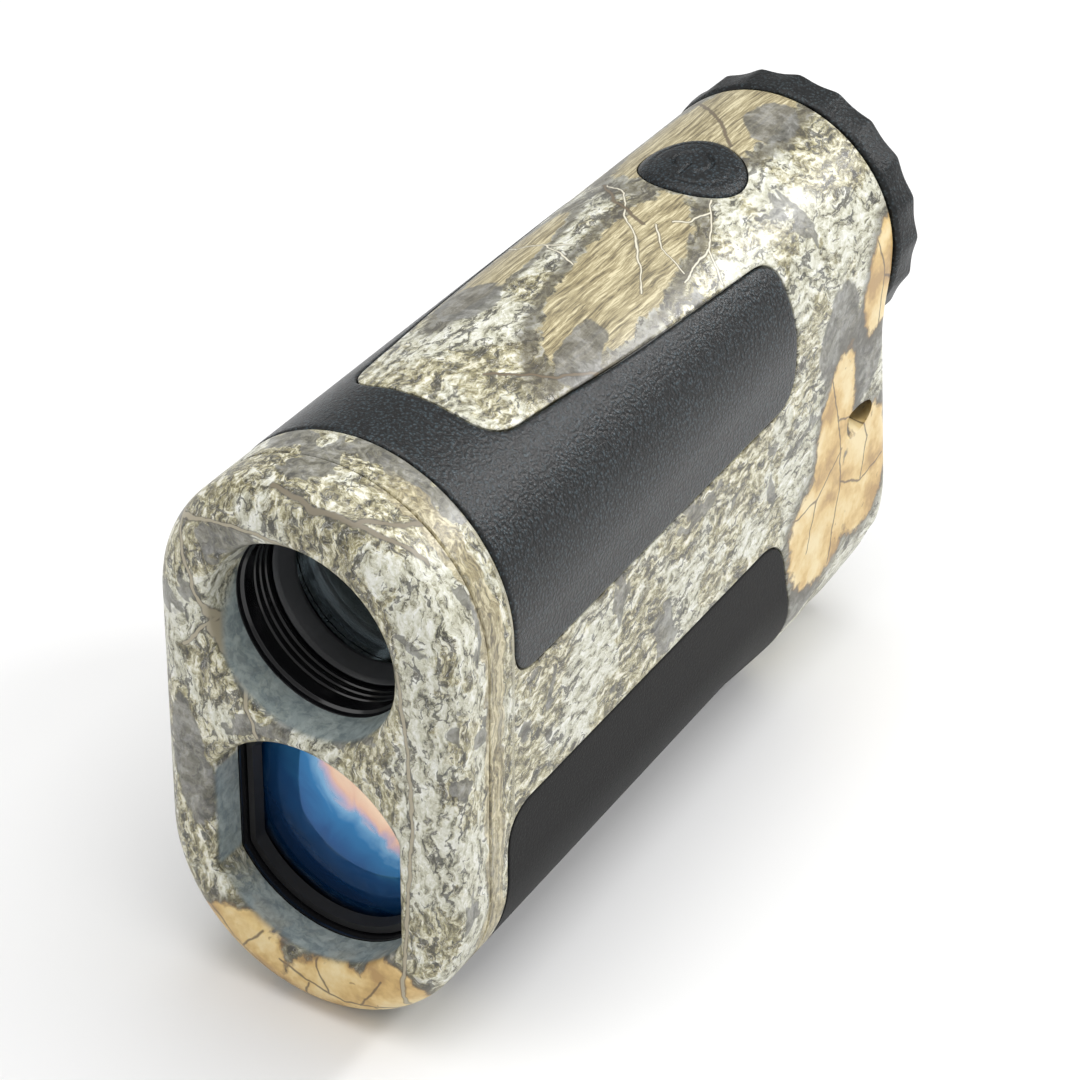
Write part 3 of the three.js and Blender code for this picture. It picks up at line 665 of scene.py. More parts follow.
def eyelet_cutter():
    """Slanted eyelet for the wrist loop, with a flared mouth."""
    profile = [(0, -15), (1.75, -15), (1.75, -0.6), (2.3, 0.9), (3.2, 2.6), (0, 2.6)]
    eyelet = turned("eyelet", profile, 0, 48, False, 0.5)
    eyelet.data.transform(Matrix.Translation((0, -FRONT_Y, 0)))
    eyelet.data.transform(Matrix.Rotation(math.radians(-135), 4, "Z"))
    eyelet.data.transform(Matrix.Translation((16.9 * MM, FRONT_Y + 97.1 * MM, 35.3 * MM)))
    return eyelet


# ---------------------------------------------------------------- bezel


RIM_STEPS = 12


def make_bezel():
    """Front cap with its rounded rim and the two funnels."""
    rows = []
    for i in range(RIM_STEPS + 1):
        angle = math.pi / 2 * (1 - i / RIM_STEPS)
        rows.append((FRONT_FILLET * (1 - math.sin(angle)), FRONT_FILLET * (1 - math.cos(angle))))
    rows += [(y, 0.0) for y in (5.2, 6.2, 7.2, BEZEL_END - 0.18)]
    rows += [(BEZEL_END - 0.05, 0.08), (BEZEL_END, 0.2)]
    count = 240
    u = np.linspace(-HALF_GIRTH, HALF_GIRTH, count + 1)
    rings = [skin(u, np.full(count + 1, y), inset)[:-1] for y, inset in rows]
    bezel = joined("front_bezel_shell", [
        (np.vstack(rings), strips(len(rings), count)),
        end_cap(u, *rows[0], 1.2, False),
        end_cap(u, *rows[-1], 4.0, False)])
    view_funnel = [(0, 5.5)] + lip(12.55, 12.05, 5.5) + [(14.05, -2), (0, -2)]
    receiver_funnel = [(14.8, 12.86, 5.5)]
    receiver_funnel += [(r, r - 1.94, y) for r, y in lip(14.8, 14.8, 5.5, 1.2)[1:]]
    receiver_funnel.append((16.0, 14.06, -2))
    return boolean(bezel, [
        turned("view_funnel", view_funnel, VIEW_AXIS, 160, False, 0),
        cylinder("barrel_seat", 13.15, 5.4, 12, VIEW_AXIS),
        clipped_loft("receiver_funnel", receiver_funnel),
        clipped_loft("frame_seat", [(15.55, 14.55, 5.4), (15.55, 14.55, 12)]),
    ], sharp=30)


def lip(radius, throat, depth, flare=1.5):
    """Funnel wall from behind to a softly flared mouth: (radius, station) pairs."""
    wall = [(throat, depth), (blend(throat, radius, 0.5), depth * 0.5)]
    curve = []
    for i in range(7):
        angle = math.pi / 2 * i / 6
        curve.append((radius + flare * (1 - math.cos(angle)), flare * (1 - math.sin(angle))))
    return wall + curve


# ---------------------------------------------------------------- optics


THREAD_PITCH = 1.05


def make_barrel():
    """Objective barrel with fine baffle threads."""
    profile = [
        (12.05, 5.5), (12.95, 5.5), (12.95, 25.9), (10.4, 25.9), (10.4, 21.3), (11.7, 21.3),
        (11.7, 11.1)]
    y = 10.9
    while y > 8.2:
        profile += [(11.74, y), (11.96, y - 0.2), (11.96, y - 0.34), (11.74, y - 0.54)]
        y -= THREAD_PITCH
    profile += [(11.62, 6.4), (12.0, 6.1)]
    return turned("objective_barrel_tube", profile, VIEW_AXIS, 160, True, 0.06)


def make_objective_ring():
    profile = [(11.3, 11.4), (11.5, 11.5), (11.5, 14.0), (9.9, 14.0), (9.9, 13.6), (10.9, 11.9)]
    return turned("objective_ring", profile, VIEW_AXIS, 144, True, 0.1)


def lens_profile(radius, y0, y1, front_sag, rear_sag, steps=16):
    front = [(radius * i / steps, y0 + front_sag * (i / steps) ** 2) for i in range(steps + 1)]
    rear = [(radius * i / steps, y1 - rear_sag * (i / steps) ** 2) for i in range(steps, -1, -1)]
    return front + rear


def make_lens(name, radius, y0, y1, front_sag, rear_sag, height):
    return turned(name, lens_profile(radius, y0, y1, front_sag, rear_sag), height, 96, False, 0)


def make_receiver_frame():
    body = clipped_loft("receiver_frame", [(15.1, 14.1, 5.5), (15.4, 14.4, 5.8), (15.4, 14.4, 15.5)])
    bore = clipped_loft("bore", [(14.85, 12.95, 4.0), (14.55, 12.65, 5.8), (14.5, 12.6, 12.8)])
    back = clipped_loft("back", [(13.2, 11.4, 12), (13.2, 11.4, 20)])
    return boolean(body, [bore, back])


def make_receiver_retainer():
    ring = clipped_loft("receiver_lip", [(14.3, 12.4, 6.5), (14.42, 12.52, 6.65), (14.42, 12.52, 8.0)])
    bore = clipped_loft("bore", [(13.5, 11.7, 6.0), (13.35, 11.55, 6.8), (12.9, 11.3, 8.4)])
    return boolean(ring, [bore])


def make_receiver_lens():
    """Domed receiver lens, cut by the two flats."""
    profile = lens_profile(14.2, 6.6, 12.5, 2.6, 0.0, 40)
    glass = turned("receiver_glass", profile, RECEIVER_AXIS, 160, False, 0)
    outline = np.array([(-12.3, 2), (12.3, 2), (12.3, 16), (-12.3, 16)], float)
    return boolean(glass, [prism("flats", outline, "z", 2, 44)], "INTERSECT")


# ---------------------------------------------------------------- eyepiece, buttons, battery cap

EYECUP_LOBES = 20
FLUTE_DEPTH = 0.52
CREST_HEIGHT = 0.08
CREST_SOFTNESS = 0.2
BUTTON_CROWN = 0.95
BUTTON_SINK = 0.25
BUTTON_BOTTOM = 70.9
GROOVE_DEPTH = 0.09
MARK_RADIUS = 2.35
MARK_GAP_ANGLE = 0.62
MARK_HALF_WIDTH = 0.36
MARK_DEPTH = 0.3
KNURL_RIDGES = 36
KNURL_DEPTH = 0.18
TAB_WIDTH = 6.95
TAB_PIN = (106.8, 27.2)
TAB_MIDDLE = [0, 23.5]


def make_eyecup():
    """Rubber eyecup: flutes between narrow crests, deepest at the rear rim."""
    front, rear = station("diopter_eyecup", 0), station("diopter_eyecup", 1)

    def flutes(radius, y, angles):
        along = smooth((y - front) / (rear - front))
        outer = smooth((radius - 15.6) / 1.2)
        phase = (angles * EYECUP_LOBES / (2 * math.pi)) % 1.0
        hollow = np.hypot(np.sin(math.pi * phase), CREST_SOFTNESS) - CREST_SOFTNESS
        return radius + outer * (CREST_HEIGHT - (0.2 + 0.8 * along) * hollow * FLUTE_DEPTH)

    profile = [
        (12.0, front), (17.0, front), (17.3, front + 0.5), (17.5, front + 2.6), (17.5, rear - 1.1),
        (16.9, rear - 0.3), (15.9, rear), (14.9, rear - 0.2), (14.2, rear - 1.6), (13.6, rear - 3.2),
        (13.4, rear - 3.8), (12.0, rear - 3.8)]
    return turned("eyecup_rubber", profile, EYE_AXIS, 400, True, 0.22, flutes)


def segment_gap(points, start, end):
    """Distance of points from a straight stroke."""
    start, end = np.array(start, float), np.array(end, float)
    along = np.clip(((points - start) @ (end - start)) / ((end - start) @ (end - start)), 0, 1)
    return np.linalg.norm(points - start - along[:, None] * (end - start), axis=1)


def power_mark(points):
    """Share of the depth of the engraved on-off mark: an open ring with a bar in its gap."""
    radius = np.linalg.norm(points, axis=1)
    angle = np.abs(np.arctan2(points[:, 0], -points[:, 1]))
    ring_gap = np.where(angle > MARK_GAP_ANGLE, np.abs(radius - MARK_RADIUS), 9.0)
    bar_gap = segment_gap(points, (0, -0.7), (0, -3.1))
    return smooth((MARK_HALF_WIDTH - np.minimum(ring_gap, bar_gap)) / 0.2)


def make_power_button():
    """Domed oval button with an engraved mark and a shallow finger groove."""
    def radius_share(points):
        return (points[:, 0] / BUTTON_HALF_WIDTH) ** 2 + (points[:, 1] / BUTTON_HALF_LENGTH) ** 2

    outline = oval(BUTTON_HALF_WIDTH - KEY_GAP, BUTTON_HALF_LENGTH - KEY_GAP, step=0.3)
    grid = lattice(outline.min(axis=0), outline.max(axis=0), 0.2)
    grid = grid[radius_share(grid) < 0.96]
    flat, _, top = triangulated([(outline, 0.0)], (grid, 0.0), outline)
    share = np.clip(radius_share(flat), 0, 1)
    stations = flat[:, 1] + BUTTON_STATION
    surface = upper_centre(stations) + np.sqrt(upper_radius(stations) ** 2 - flat[:, 0] ** 2)
    crown = BUTTON_CROWN * np.sqrt(1 - share ** 2.2) - BUTTON_SINK
    groove = GROOVE_DEPTH * np.exp(-((np.sqrt(share) - 0.72) / 0.04) ** 2)
    height = surface + crown - groove - MARK_DEPTH * power_mark(flat)
    rim = len(outline)
    base = len(flat)
    bottom = np.insert(outline + [0, BUTTON_STATION], 2, BUTTON_BOTTOM, 1)
    faces = top.tolist() + [[base + i for i in range(rim)]]
    rim_index = [int(np.argmin(np.linalg.norm(flat - p, axis=1))) for p in outline]
    for i in range(rim):
        j = (i + 1) % rim
        faces.append([rim_index[i], rim_index[j], base + j, base + i])
    points = np.vstack([np.stack([flat[:, 0], stations, height], -1), bottom])
    return mesh_object("power_button_rubber", points, faces, 50)


def make_mode_button():
    """Low domed oval key on the left side."""
    low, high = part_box("mode_button")
    outer, inner = low.x / MM, high.x / MM
    outline = oval(MODE_HALF_LENGTH - KEY_GAP, MODE_HALF_HEIGHT - KEY_GAP, step=0.3)
    rings = []
    for scale, x in (
            (1.0, inner), (1.0, outer + 0.7), (0.985, outer + 0.45), (0.93, outer + 0.2),
            (0.8, outer + 0.06), (0.55, outer), (0.25, outer - 0.02)):
        rings.append(np.insert(outline * scale + [MODE_STATION, MODE_HEIGHT], 0, x, 1))
    return lofted("mode_button_rubber", rings, 40)


def make_battery_cap():
    """Quarter-turn cap with a finger recess for its flip-up tab and a coarse knurl."""
    face = station("battery_cap", 1)

    def knurl(radius, y, angles):
        outer = smooth((radius - 10.0) / 0.5) * smooth((y - 104.9) / 0.4)
        return radius - outer * KNURL_DEPTH * (0.5 + 0.5 * np.cos(angles * KNURL_RIDGES))

    profile = [
        (0, 100.6), (8.7, 100.6), (8.7, 105.0), (10.6, 105.0), (10.6, face - 0.5), (10.0, face),
        (0, face)]
    cap = turned("battery_cap_body", profile, BATTERY_AXIS, 216, False, 0.3, knurl)
    recess = rounded([(-7.3, 17.7, 2.4), (7.3, 17.7, 2.4), (7.3, 28.8, 0.6), (-7.3, 28.8, 0.6)], 0.4)
    return boolean(cap, [
        prism("recess", recess, "y", 105.2, 112),
        prism("pin_hole", ellipse(0.75, 0.75, TAB_PIN, 48), "x", -8.9, 8.9)])


def make_cap_tab():
    """Flip-up finger tab with a rounded outline and its hinge knuckle."""
    outline = anticlockwise(rounded([
        (-TAB_WIDTH, 27.2, 0.2), (TAB_WIDTH, 27.2, 0.2), (TAB_WIDTH, 21.4, 2.2), (4, 18.8, 2),
        (-4, 18.8, 2), (-TAB_WIDTH, 21.4, 2.2)], 0.3))
    rings = []
    for y, scale in ((106.0, 0.985), (106.15, 1.0), (107.3, 1.0), (107.45, 0.985), (107.5, 0.955)):
        rings.append(np.insert((outline - TAB_MIDDLE) * scale + TAB_MIDDLE, 1, y, 1))
    plate = lofted("cap_tab_plate", rings)
    knuckle = prism("knuckle", ellipse(1.22, 1.22, TAB_PIN, 48), "x", -TAB_WIDTH, TAB_WIDTH)
    bore = prism("bore", ellipse(0.75, 0.75, TAB_PIN, 48), "x", -9, 9)
    return boolean(boolean(plate, [knuckle], "UNION"), [bore])


# ---------------------------------------------------------------- materials


class Nodes:
    """Short way to build one material's node tree. A colour is linear, or hexadecimal sRGB."""

    def __init__(self, name):
        self.material = bpy.data.materials.new(name)
        self.material.use_nodes = True
        self.tree = self.material.node_tree
        self.tree.nodes.clear()
        self.output = self.add("ShaderNodeOutputMaterial")

    def add(self, kind, inputs=None, **settings):
        node = self.tree.nodes.new(kind)
        for key, value in settings.items():
            setattr(node, key, value)
        for key, value in (inputs or {}).items():
            self.put(node.inputs[key], value)
        return node

    def put(self, socket, value):
        if isinstance(value, str):
            value = srgb(value)
        if isinstance(value, bpy.types.NodeSocket):
            self.tree.links.new(value, socket)
        elif isinstance(value, tuple) and socket.type == "RGBA":
            socket.default_value = (*value, 1.0)
        else:
            socket.default_value = value

    def place(self):
        return self.add("ShaderNodeTexCoord").outputs["Object"]

    def mapped(self, vector, scale=(1, 1, 1), rotation=(0, 0, 0), location=(0, 0, 0)):
        inputs = {"Vector": vector, "Scale": scale, "Rotation": rotation, "Location": location}
        return self.add("ShaderNodeMapping", inputs).outputs[0]

    def noise(self, vector, scale, detail=3.0, rough=0.5, distortion=0.0, color=False):
        inputs = {
            "Vector": vector, "Scale": scale, "Detail": detail, "Roughness": rough,
            "Distortion": distortion}
        return self.add("ShaderNodeTexNoise", inputs).outputs[1 if color else 0]

    def voronoi(self, vector, scale, feature="F1"):
        inputs = {"Vector": vector, "Scale": scale}
        return self.add("ShaderNodeTexVoronoi", inputs, feature=feature).outputs["Distance"]

    def math(self, operation, *values):
        node = self.add("ShaderNodeMath", operation=operation)
        for socket, value in zip(node.inputs, values):
            self.put(socket, value)
        return node.outputs[0]

    def plus(self, one, two):
        return self.math("ADD", one, two)

    def less(self, one, two):
        return self.math("SUBTRACT", one, two)

    def apart(self, one, two):
        return self.math("ABSOLUTE", self.less(one, two))

    def times(self, product, *factors):
        """Product of values, or the shared part of masks."""
        for factor in factors:
            product = self.math("MULTIPLY", product, factor)
        return product

    def vector(self, operation, *values):
        node = self.add("ShaderNodeVectorMath", operation=operation)
        for socket, value in zip(node.inputs, values):
            self.put(socket, value)
        return node.outputs[0]

    def step(self, value, low, high):
        inputs = {"Value": value, "From Min": low, "From Max": high, "To Min": 0.0, "To Max": 1.0}
        return self.add("ShaderNodeMapRange", inputs, interpolation_type="SMOOTHSTEP").outputs[0]

    def ramp(self, value, stops):
        node = self.add("ShaderNodeValToRGB", {"Fac": value})
        while len(node.color_ramp.elements) < len(stops):
            node.color_ramp.elements.new(0.5)
        for element, (position, color) in zip(node.color_ramp.elements, stops):
            element.position = position
            element.color = (*(srgb(color) if isinstance(color, str) else color), 1.0)
        return node.outputs[0]

    def mix(self, share, one, two, blend_type="MIX"):
        node = self.add("ShaderNodeMix", data_type="RGBA", blend_type=blend_type)
        self.put(node.inputs["Factor"], share)
        self.put(node.inputs[6], one)
        self.put(node.inputs[7], two)
        return node.outputs[2]

    def bump(self, height, strength, distance):
        inputs = {"Height": height, "Strength": strength, "Distance": distance}
        return self.add("ShaderNodeBump", inputs).outputs[0]

    def axes(self, place):
        return self.add("ShaderNodeSeparateXYZ", {0: place}).outputs

    def station_mm(self):
        """Object coordinates in millimetres, with stations for y."""
        return self.mapped(self.place(), (1 / MM,) * 3, location=(0, -FRONT_Y / MM, 0))

    def nearest(self, group, x, y, shapes):
        """Smallest result of a gap group over several shapes, as a distance."""
        least = None
        for shape in shapes:
            node = self.add("ShaderNodeGroup", node_tree=group)
            self.put(node.inputs[0], x)
            self.put(node.inputs[1], y)
            for i, value in enumerate(shape):
                node.inputs[2 + i].default_value = value
            gap = node.outputs[0]
            least = gap if least is None else self.math("MINIMUM", least, gap)
        return self.math("SQRT", least)

    def strokes(self, x, y, lines):
        """Distance from the nearest of some lines through points, in millimetres."""
        shapes = []
        for line in lines:
            for (ax, ay), (bx, by) in zip(line, line[1:]):
                dx, dy = bx - ax, by - ay
                length = dx * dx + dy * dy
                shapes.append((ax, ay, dx / length, dy / length, -dx, -dy))
        return self.nearest(STROKE_GAP, x, y, shapes)

    def ovals(self, x, y, shapes):
        """Distance from the nearest turned oval's middle, as a share of its radius."""
        given = []
        for cx, cy, half_a, half_b, turn in shapes:
            cosine, sine = math.cos(math.radians(turn)), math.sin(math.radians(turn))
            given.append((cx, cy, cosine / half_a, sine / half_a, -sine / half_b, cosine / half_b))
        return self.nearest(OVAL_GAP, x, y, given)

    def drift(self, place, scale, detail):
        """Random vector field around zero."""
        color = self.noise(place, scale, detail, 0.55, color=True)
        return self.vector("SUBTRACT", color, (0.5, 0.5, 0.5))

    def warped(self, place, drift, amount):
        """A place pushed about by a drift, in the place's own unit."""
        return self.vector("MULTIPLY_ADD", drift, (amount,) * 3, place)

    def below(self, value, limit, soft):
        """1 where a value is under a limit, fading over a soft edge."""
        return self.less(1.0, self.step(value, limit - soft, limit + soft))

    def near(self, value, middle, reach, soft):
        """1 where a value is within reach of a middle."""
        return self.below(self.apart(value, middle), reach, soft)

    def principled(self, **inputs):
        named = {key.replace("_", " "): value for key, value in inputs.items()}
        shader = self.add("ShaderNodeBsdfPrincipled", named)
        self.tree.links.new(shader.outputs[0], self.output.inputs["Surface"])
        return self.material


def srgb(text):
    """Linear colour from a hexadecimal sRGB one."""
    values = [int(text[i:i + 2], 16) / 255 for i in (0, 2, 4)]
    return tuple(v / 12.92 if v <= 0.04045 else ((v + 0.055) / 1.055) ** 2.4 for v in values)


def rubber_material(name, dark, light, grain_size, depth, roughness, gloss):
    """Moulded rubber with a fine pebbled grain that catches the light, with painted sparkle on the pebble
    tops and painted shade between them.
    """
    n = Nodes(name)
    place = n.place()
    warp = n.drift(place, 1 / grain_size, 2)
    pebbles = n.voronoi(n.warped(place, warp, grain_size * 0.6), 1 / grain_size, "SMOOTH_F1")
    fine = n.noise(place, 2.5 / grain_size, 4, 0.6)
    grain = n.plus(n.times(pebbles, -1.0), n.times(fine, 0.6))
    wide = n.noise(place, 60, 3, 0.5)
    # Painted light: the colour ramp makes the pebble tops light as painted sparkle, and the gaps between
    # them dark as painted shade.
    painted_sparkle_share = n.plus(n.plus(grain, 0.44), n.times(wide, 0.12))
    middle = tuple(0.25 * c for c in srgb(light))
    return n.principled(
        Base_Color=n.ramp(painted_sparkle_share, [(0.30, dark), (0.50, middle), (0.66, light)]),
        Roughness=n.plus(roughness, n.times(fine, 0.14)),
        Normal=n.bump(grain, 1.0, depth), Specular_IOR_Level=gloss)


def plastic_material(name, color, roughness, speckle=0.03, metallic=0.0, scale=900):
    """Plain moulded or machined surface with a little unevenness."""
    n = Nodes(name)
    place = n.place()
    fine = n.noise(place, scale, 4, 0.6)
    wide = n.noise(place, 80, 2, 0.5)
    low = tuple(max(c * (1 - 4 * speckle), 0.0) for c in color)
    high = tuple(min(c * (1 + 4 * speckle) + speckle * 0.02, 1.0) for c in color)
    return n.principled(
        Base_Color=n.ramp(n.plus(n.times(fine, 0.5), n.times(wide, 0.5)), [(0.3, low), (0.7, high)]),
        Roughness=n.plus(max(roughness - 0.05, 0.0), n.times(wide, 0.1)),
        Metallic=metallic, Normal=n.bump(fine, 0.25, 0.00002))


def glass_material(name):
    n = Nodes(name)
    haze = n.noise(n.place(), 300, 2, 0.5)
    return n.principled(
        Base_Color=(0.85, 0.92, 0.95), Roughness=n.plus(0.02, n.times(haze, 0.01)),
        Transmission_Weight=1.0, IOR=1.5)


def gap_group(name, build_gap):
    """Node group of plain arithmetic: a squared gap from a point and six numbers."""
    group = bpy.data.node_groups.new(name, "ShaderNodeTree")
    for label in ("X", "Y", "A", "B", "C", "D", "E", "F"):
        group.interface.new_socket(label, in_out="INPUT", socket_type="NodeSocketFloat")
    group.interface.new_socket("Gap", in_out="OUTPUT", socket_type="NodeSocketFloat")
    given = list(group.nodes.new("NodeGroupInput").outputs)[:8]

    def calc(operation, *values, clamp=False):
        node = group.nodes.new("ShaderNodeMath")
        node.operation = operation
        node.use_clamp = clamp
        for socket, value in zip(node.inputs, values):
            group.links.new(value, socket)
        return node.outputs[0]

    x, y, a, b = given[:4]
    gap = build_gap(calc, calc("SUBTRACT", x, a), calc("SUBTRACT", y, b), *given[4:])
    group.links.new(gap, group.nodes.new("NodeGroupOutput").inputs[0])
    return group


def stroke_nodes(calc, x, y, along_x, along_y, back_x, back_y):
    share = calc("MULTIPLY_ADD", y, along_y, calc("MULTIPLY", x, along_x), clamp=True)
    rest_x = calc("MULTIPLY_ADD", share, back_x, x)
    rest_y = calc("MULTIPLY_ADD", share, back_y, y)
    return calc("MULTIPLY_ADD", rest_x, rest_x, calc("MULTIPLY", rest_y, rest_y))


def oval_nodes(calc, x, y, a, b, c, d):
    u = calc("MULTIPLY_ADD", x, a, calc("MULTIPLY", y, b))
    v = calc("MULTIPLY_ADD", x, c, calc("MULTIPLY", y, d))
    return calc("MULTIPLY_ADD", u, u, calc("MULTIPLY", v, v))


STROKE_GAP = gap_group("stroke_gap", stroke_nodes)
OVAL_GAP = gap_group("oval_gap", oval_nodes)


def bark(n, grain, pale_share):
    """Rough bark: mottled ramps for the olive and pale kinds, an embossed relief, dark cracks
    and pale ridges."""
    body = n.noise(grain, 1.05, 8, 0.76)
    beside = n.noise(n.mapped(grain, location=(0.10, 0.07, -0.10)), 1.05, 8, 0.76)
    color = n.mix(pale_share, n.ramp(body, OLIVE_BARK), n.ramp(body, PALE_BARK))
    broken = n.times(n.less(n.noise(grain, 0.6, 3, 0.6), 0.44), 0.9)
    crack = n.plus(n.voronoi(grain, 0.85, "DISTANCE_TO_EDGE"), broken)
    color = n.mix(n.times(n.below(crack, 0.045, 0.03), 0.8), color, "332f25")
    ridge = n.near(n.noise(grain, 1.5, 4, 0.6), 0.53, 0.010, 0.012)
    color = n.mix(n.times(ridge, 0.5), color, "efede4")
    relief = n.plus(0.5, n.times(n.less(beside, body), 3.6))
    light = n.ramp(relief, [(0, (0, 0, 0)), (1, (1, 1, 1))])
    return n.mix(0.8, color, light, "OVERLAY")


OLIVE_BARK = [
    (0.385, "27231a"), (0.44, "5c5438"), (0.485, "8b835e"), (0.525, "b3ad8b"), (0.565, "d8d4bf"),
    (0.63, "f0eee4")]
PALE_BARK = [(0.38, "38352d"), (0.43, "858169"), (0.47, "bcbaa6"), (0.53, "d2d1c2"), (0.62, "e9e9e0")]
WOOD = [(0.39, "5f543b"), (0.45, "8d805d"), (0.52, "aa9d77"), (0.60, "d8cda8")]
LEAF = [(0.42, "b18c50"), (0.52, "d0ad6a"), (0.60, "e0c384"), (0.72, "ebd7a6")]
SHADE = [(0.38, "3c3a34"), (0.50, "68665f"), (0.62, "8e8d89")]


def camo_material(name, shade_sets, leaf_sets, twig_sets, funnels=False):
    """Generic woodland print: pale and olive bark, soft shade, wood grain, leaves and twigs."""
    n = Nodes(name)
    place = n.station_mm()
    x, y, z = n.axes(place)
    loose = n.warped(place, n.drift(place, 0.22, 3), 4.0)
    rough = n.warped(loose, n.drift(place, 0.9, 4), 1.0)
    gentle = n.warped(place, n.drift(place, 0.35, 2), 1.2)
    gentle_x, gentle_y, gentle_z = n.axes(gentle)
    top = n.step(z, 60, 63)
    right = n.step(x, 4, 9)
    sides = {
        "top": (top, gentle_x, gentle_y),
        "right": (right, gentle_y, gentle_z),
        "left": (n.below(x, -6.5, 2.5), gentle_y, gentle_z),
        "front": (n.below(y, 3.2, 1.0), gentle_x, gentle_z),
    }
    tear = n.times(n.less(n.noise(place, 0.55, 4, 0.6), 0.5), 0.5)

    # Bark in olive and pale zones, paler beside the funnels on the right.
    zone = n.plus(n.noise(loose, 0.085, 3, 0.55), n.times(n.noise(place, 1.3, 3, 0.7), 0.22))
    if funnels:
        zone = n.plus(n.less(zone, 0.03), n.times(n.step(x, 13.0, 15.5), 0.13))
    upright, lengthwise = n.mapped(rough, (1, 1, 0.34)), n.mapped(rough, (1, 0.34, 1))
    color = bark(n, n.mix(n.step(y, 13, 13.6), upright, lengthwise), n.step(zone, 0.60, 0.65))

    # Soft grey shade.
    shade_zone = n.noise(n.mapped(loose, location=(40, 9, 3)), 0.1, 3, 0.6, 0.4)
    shade_body = n.ramp(n.noise(rough, 0.5, 6, 0.7), SHADE)
    color = n.mix(n.times(n.step(shade_zone, 0.585, 0.60), 0.8), color, shade_body)

    # Wood grain with a dark rim on the top, and an upright strip behind the bezel's seam.
    straight = n.warped(place, n.drift(place, 0.12, 2), 1.4)
    wood_place = n.mapped(straight, (1, 0.055, 1), rotation=(0, 0, -0.16))
    planks = n.plus(n.ovals(gentle_x, gentle_y, PLANKS), tear)
    rim = n.times(top, n.near(planks, 1.16, 0.16, 0.12))
    color = n.mix(n.times(rim, 0.75), color, "453e30")
    wood = n.ramp(n.noise(wood_place, 2.6, 7, 0.76), WOOD)
    color = n.mix(n.times(top, n.below(planks, 1.0, 0.03)), color, wood)
    strip = n.times(right, n.near(n.axes(rough)[1], 9.3, 2.0, 0.15))
    upright_wood = n.ramp(n.noise(n.mapped(loose, (1, 1, 0.06)), 1.8, 6, 0.65, 0.3), WOOD)
    color = n.mix(n.times(strip, 0.75), color, upright_wood)

    for side, shades in shade_sets:
        mask, a, b = sides[side]
        dark = n.times(mask, n.below(n.plus(n.ovals(a, b, shades), tear), 1.0, 0.06))
        color = n.mix(n.times(dark, 0.85), color, shade_body)

    # Leaves with veins, an edge and a shadow.
    mottle = n.plus(n.noise(loose, 0.16, 3, 0.5), n.times(n.noise(place, 1.6, 5, 0.6), 0.16))
    speck = n.below(n.voronoi(rough, 0.42), 0.09, 0.03)
    leaf_body = n.mix(n.times(speck, 0.6), n.ramp(mottle, LEAF), "8a6536")
    for side, leaves, veins in leaf_sets:
        mask, a, b = sides[side]
        reach = n.plus(n.ovals(a, b, leaves), tear)
        lines = n.below(n.strokes(a, b, veins), 0.14, 0.10)
        leaf = n.mix(n.times(lines, 0.85), leaf_body, "5a4226")
        shadow = n.times(mask, n.below(reach, 1.22, 0.16))
        edge = n.times(mask, n.near(reach, 1.0, 0.05, 0.03))
        color = n.mix(n.times(shadow, 0.7), color, "46402f")
        color = n.mix(n.times(mask, n.below(reach, 1.0, 0.02)), color, leaf)
        color = n.mix(n.times(edge, 0.5), color, "7c5c30")

    # Twigs with a dark outline.
    for side, twigs, width, core, outline in twig_sets:
        mask, a, b = sides[side]
        gap = n.strokes(a, b, twigs)
        around = n.times(mask, n.below(gap, width + 0.12, 0.10))
        color = n.mix(n.times(around, 0.7), color, outline)
        color = n.mix(n.times(mask, n.below(gap, width, 0.06)), color, core)

    # A pale haze over all of it, and plain grey-blue paint inside the funnels.
    color = n.mix(n.times(n.noise(place, 0.12, 2, 0.5), 0.10), color, "b4bcbc")
    if funnels:
        within = n.math("MINIMUM", n.ovals(x, z, FUNNELS), 2.0)
        paint = n.ramp(n.noise(rough, 0.8, 5, 0.6), [(0.4, "829093"), (0.6, "a9b6b6")])
        inner = n.times(n.step(y, 0.5, 1.6), n.below(within, 1.0, 0.01), 0.85)
        color = n.mix(inner, color, paint)
    fine = n.noise(place, 5.0, 3, 0.6)
    return n.principled(
        Base_Color=color, Roughness=n.plus(0.34, n.times(fine, 0.12)),
        Normal=n.bump(n.noise(rough, 1.1, 5, 0.65), 0.35, 0.00006), Coat_Weight=0.12,
        Coat_Roughness=0.3)


# Print layout, in millimetres: ovals as (middle, half sizes, turn in degrees), veins and twigs as
# lines through points.
FUNNELS = [(0.9, VIEW_AXIS - 0.6, 13.1, 13.1, 0), (0.5, RECEIVER_AXIS - 0.3, 15, 15, 0)]
PLANKS = [(5, 58, 5.2, 18.5, 9), (-3.6, 92, 7.5, 15, -6), (-8.5, 55, 3, 14, 4)]
RIGHT_LEAVES = [
    (90, 36.5, 4.6, 11.5, -8), (87.5, 24.5, 8.5, 8.5, 20), (98.5, 26.5, 6.5, 9, 0),
    (101, 54, 4.6, 7.5, -18)]
RIGHT_SHADES = [(95.5, 45, 6.5, 7.5, 0), (89.5, 52, 4.5, 6.5, -20), (83, 15.5, 6, 4, 30)]
TOP_SHADES = [(2.5, 97, 3.2, 4.5, 10), (-7, 45, 3.8, 5, 20), (9, 44, 2.2, 6, 12)]
FRONT_SHADES = [(-6, 10.5, 3.6, 3, 0), (-15.5, 30, 2.6, 9, 8)]
RIGHT_VEINS = [
    [(87.5, 48), (91, 38), (92.5, 28), (90, 17)], [(91, 38), (97, 36), (104, 38)],
    [(92.5, 28), (98, 25), (104, 26)],
    [(92, 33), (86, 29), (80, 29)], [(97, 36), (99, 31), (98, 25)], [(86, 29), (84, 22)],
    [(99, 61), (101, 54), (100, 46)], [(101, 54), (104, 52)]]
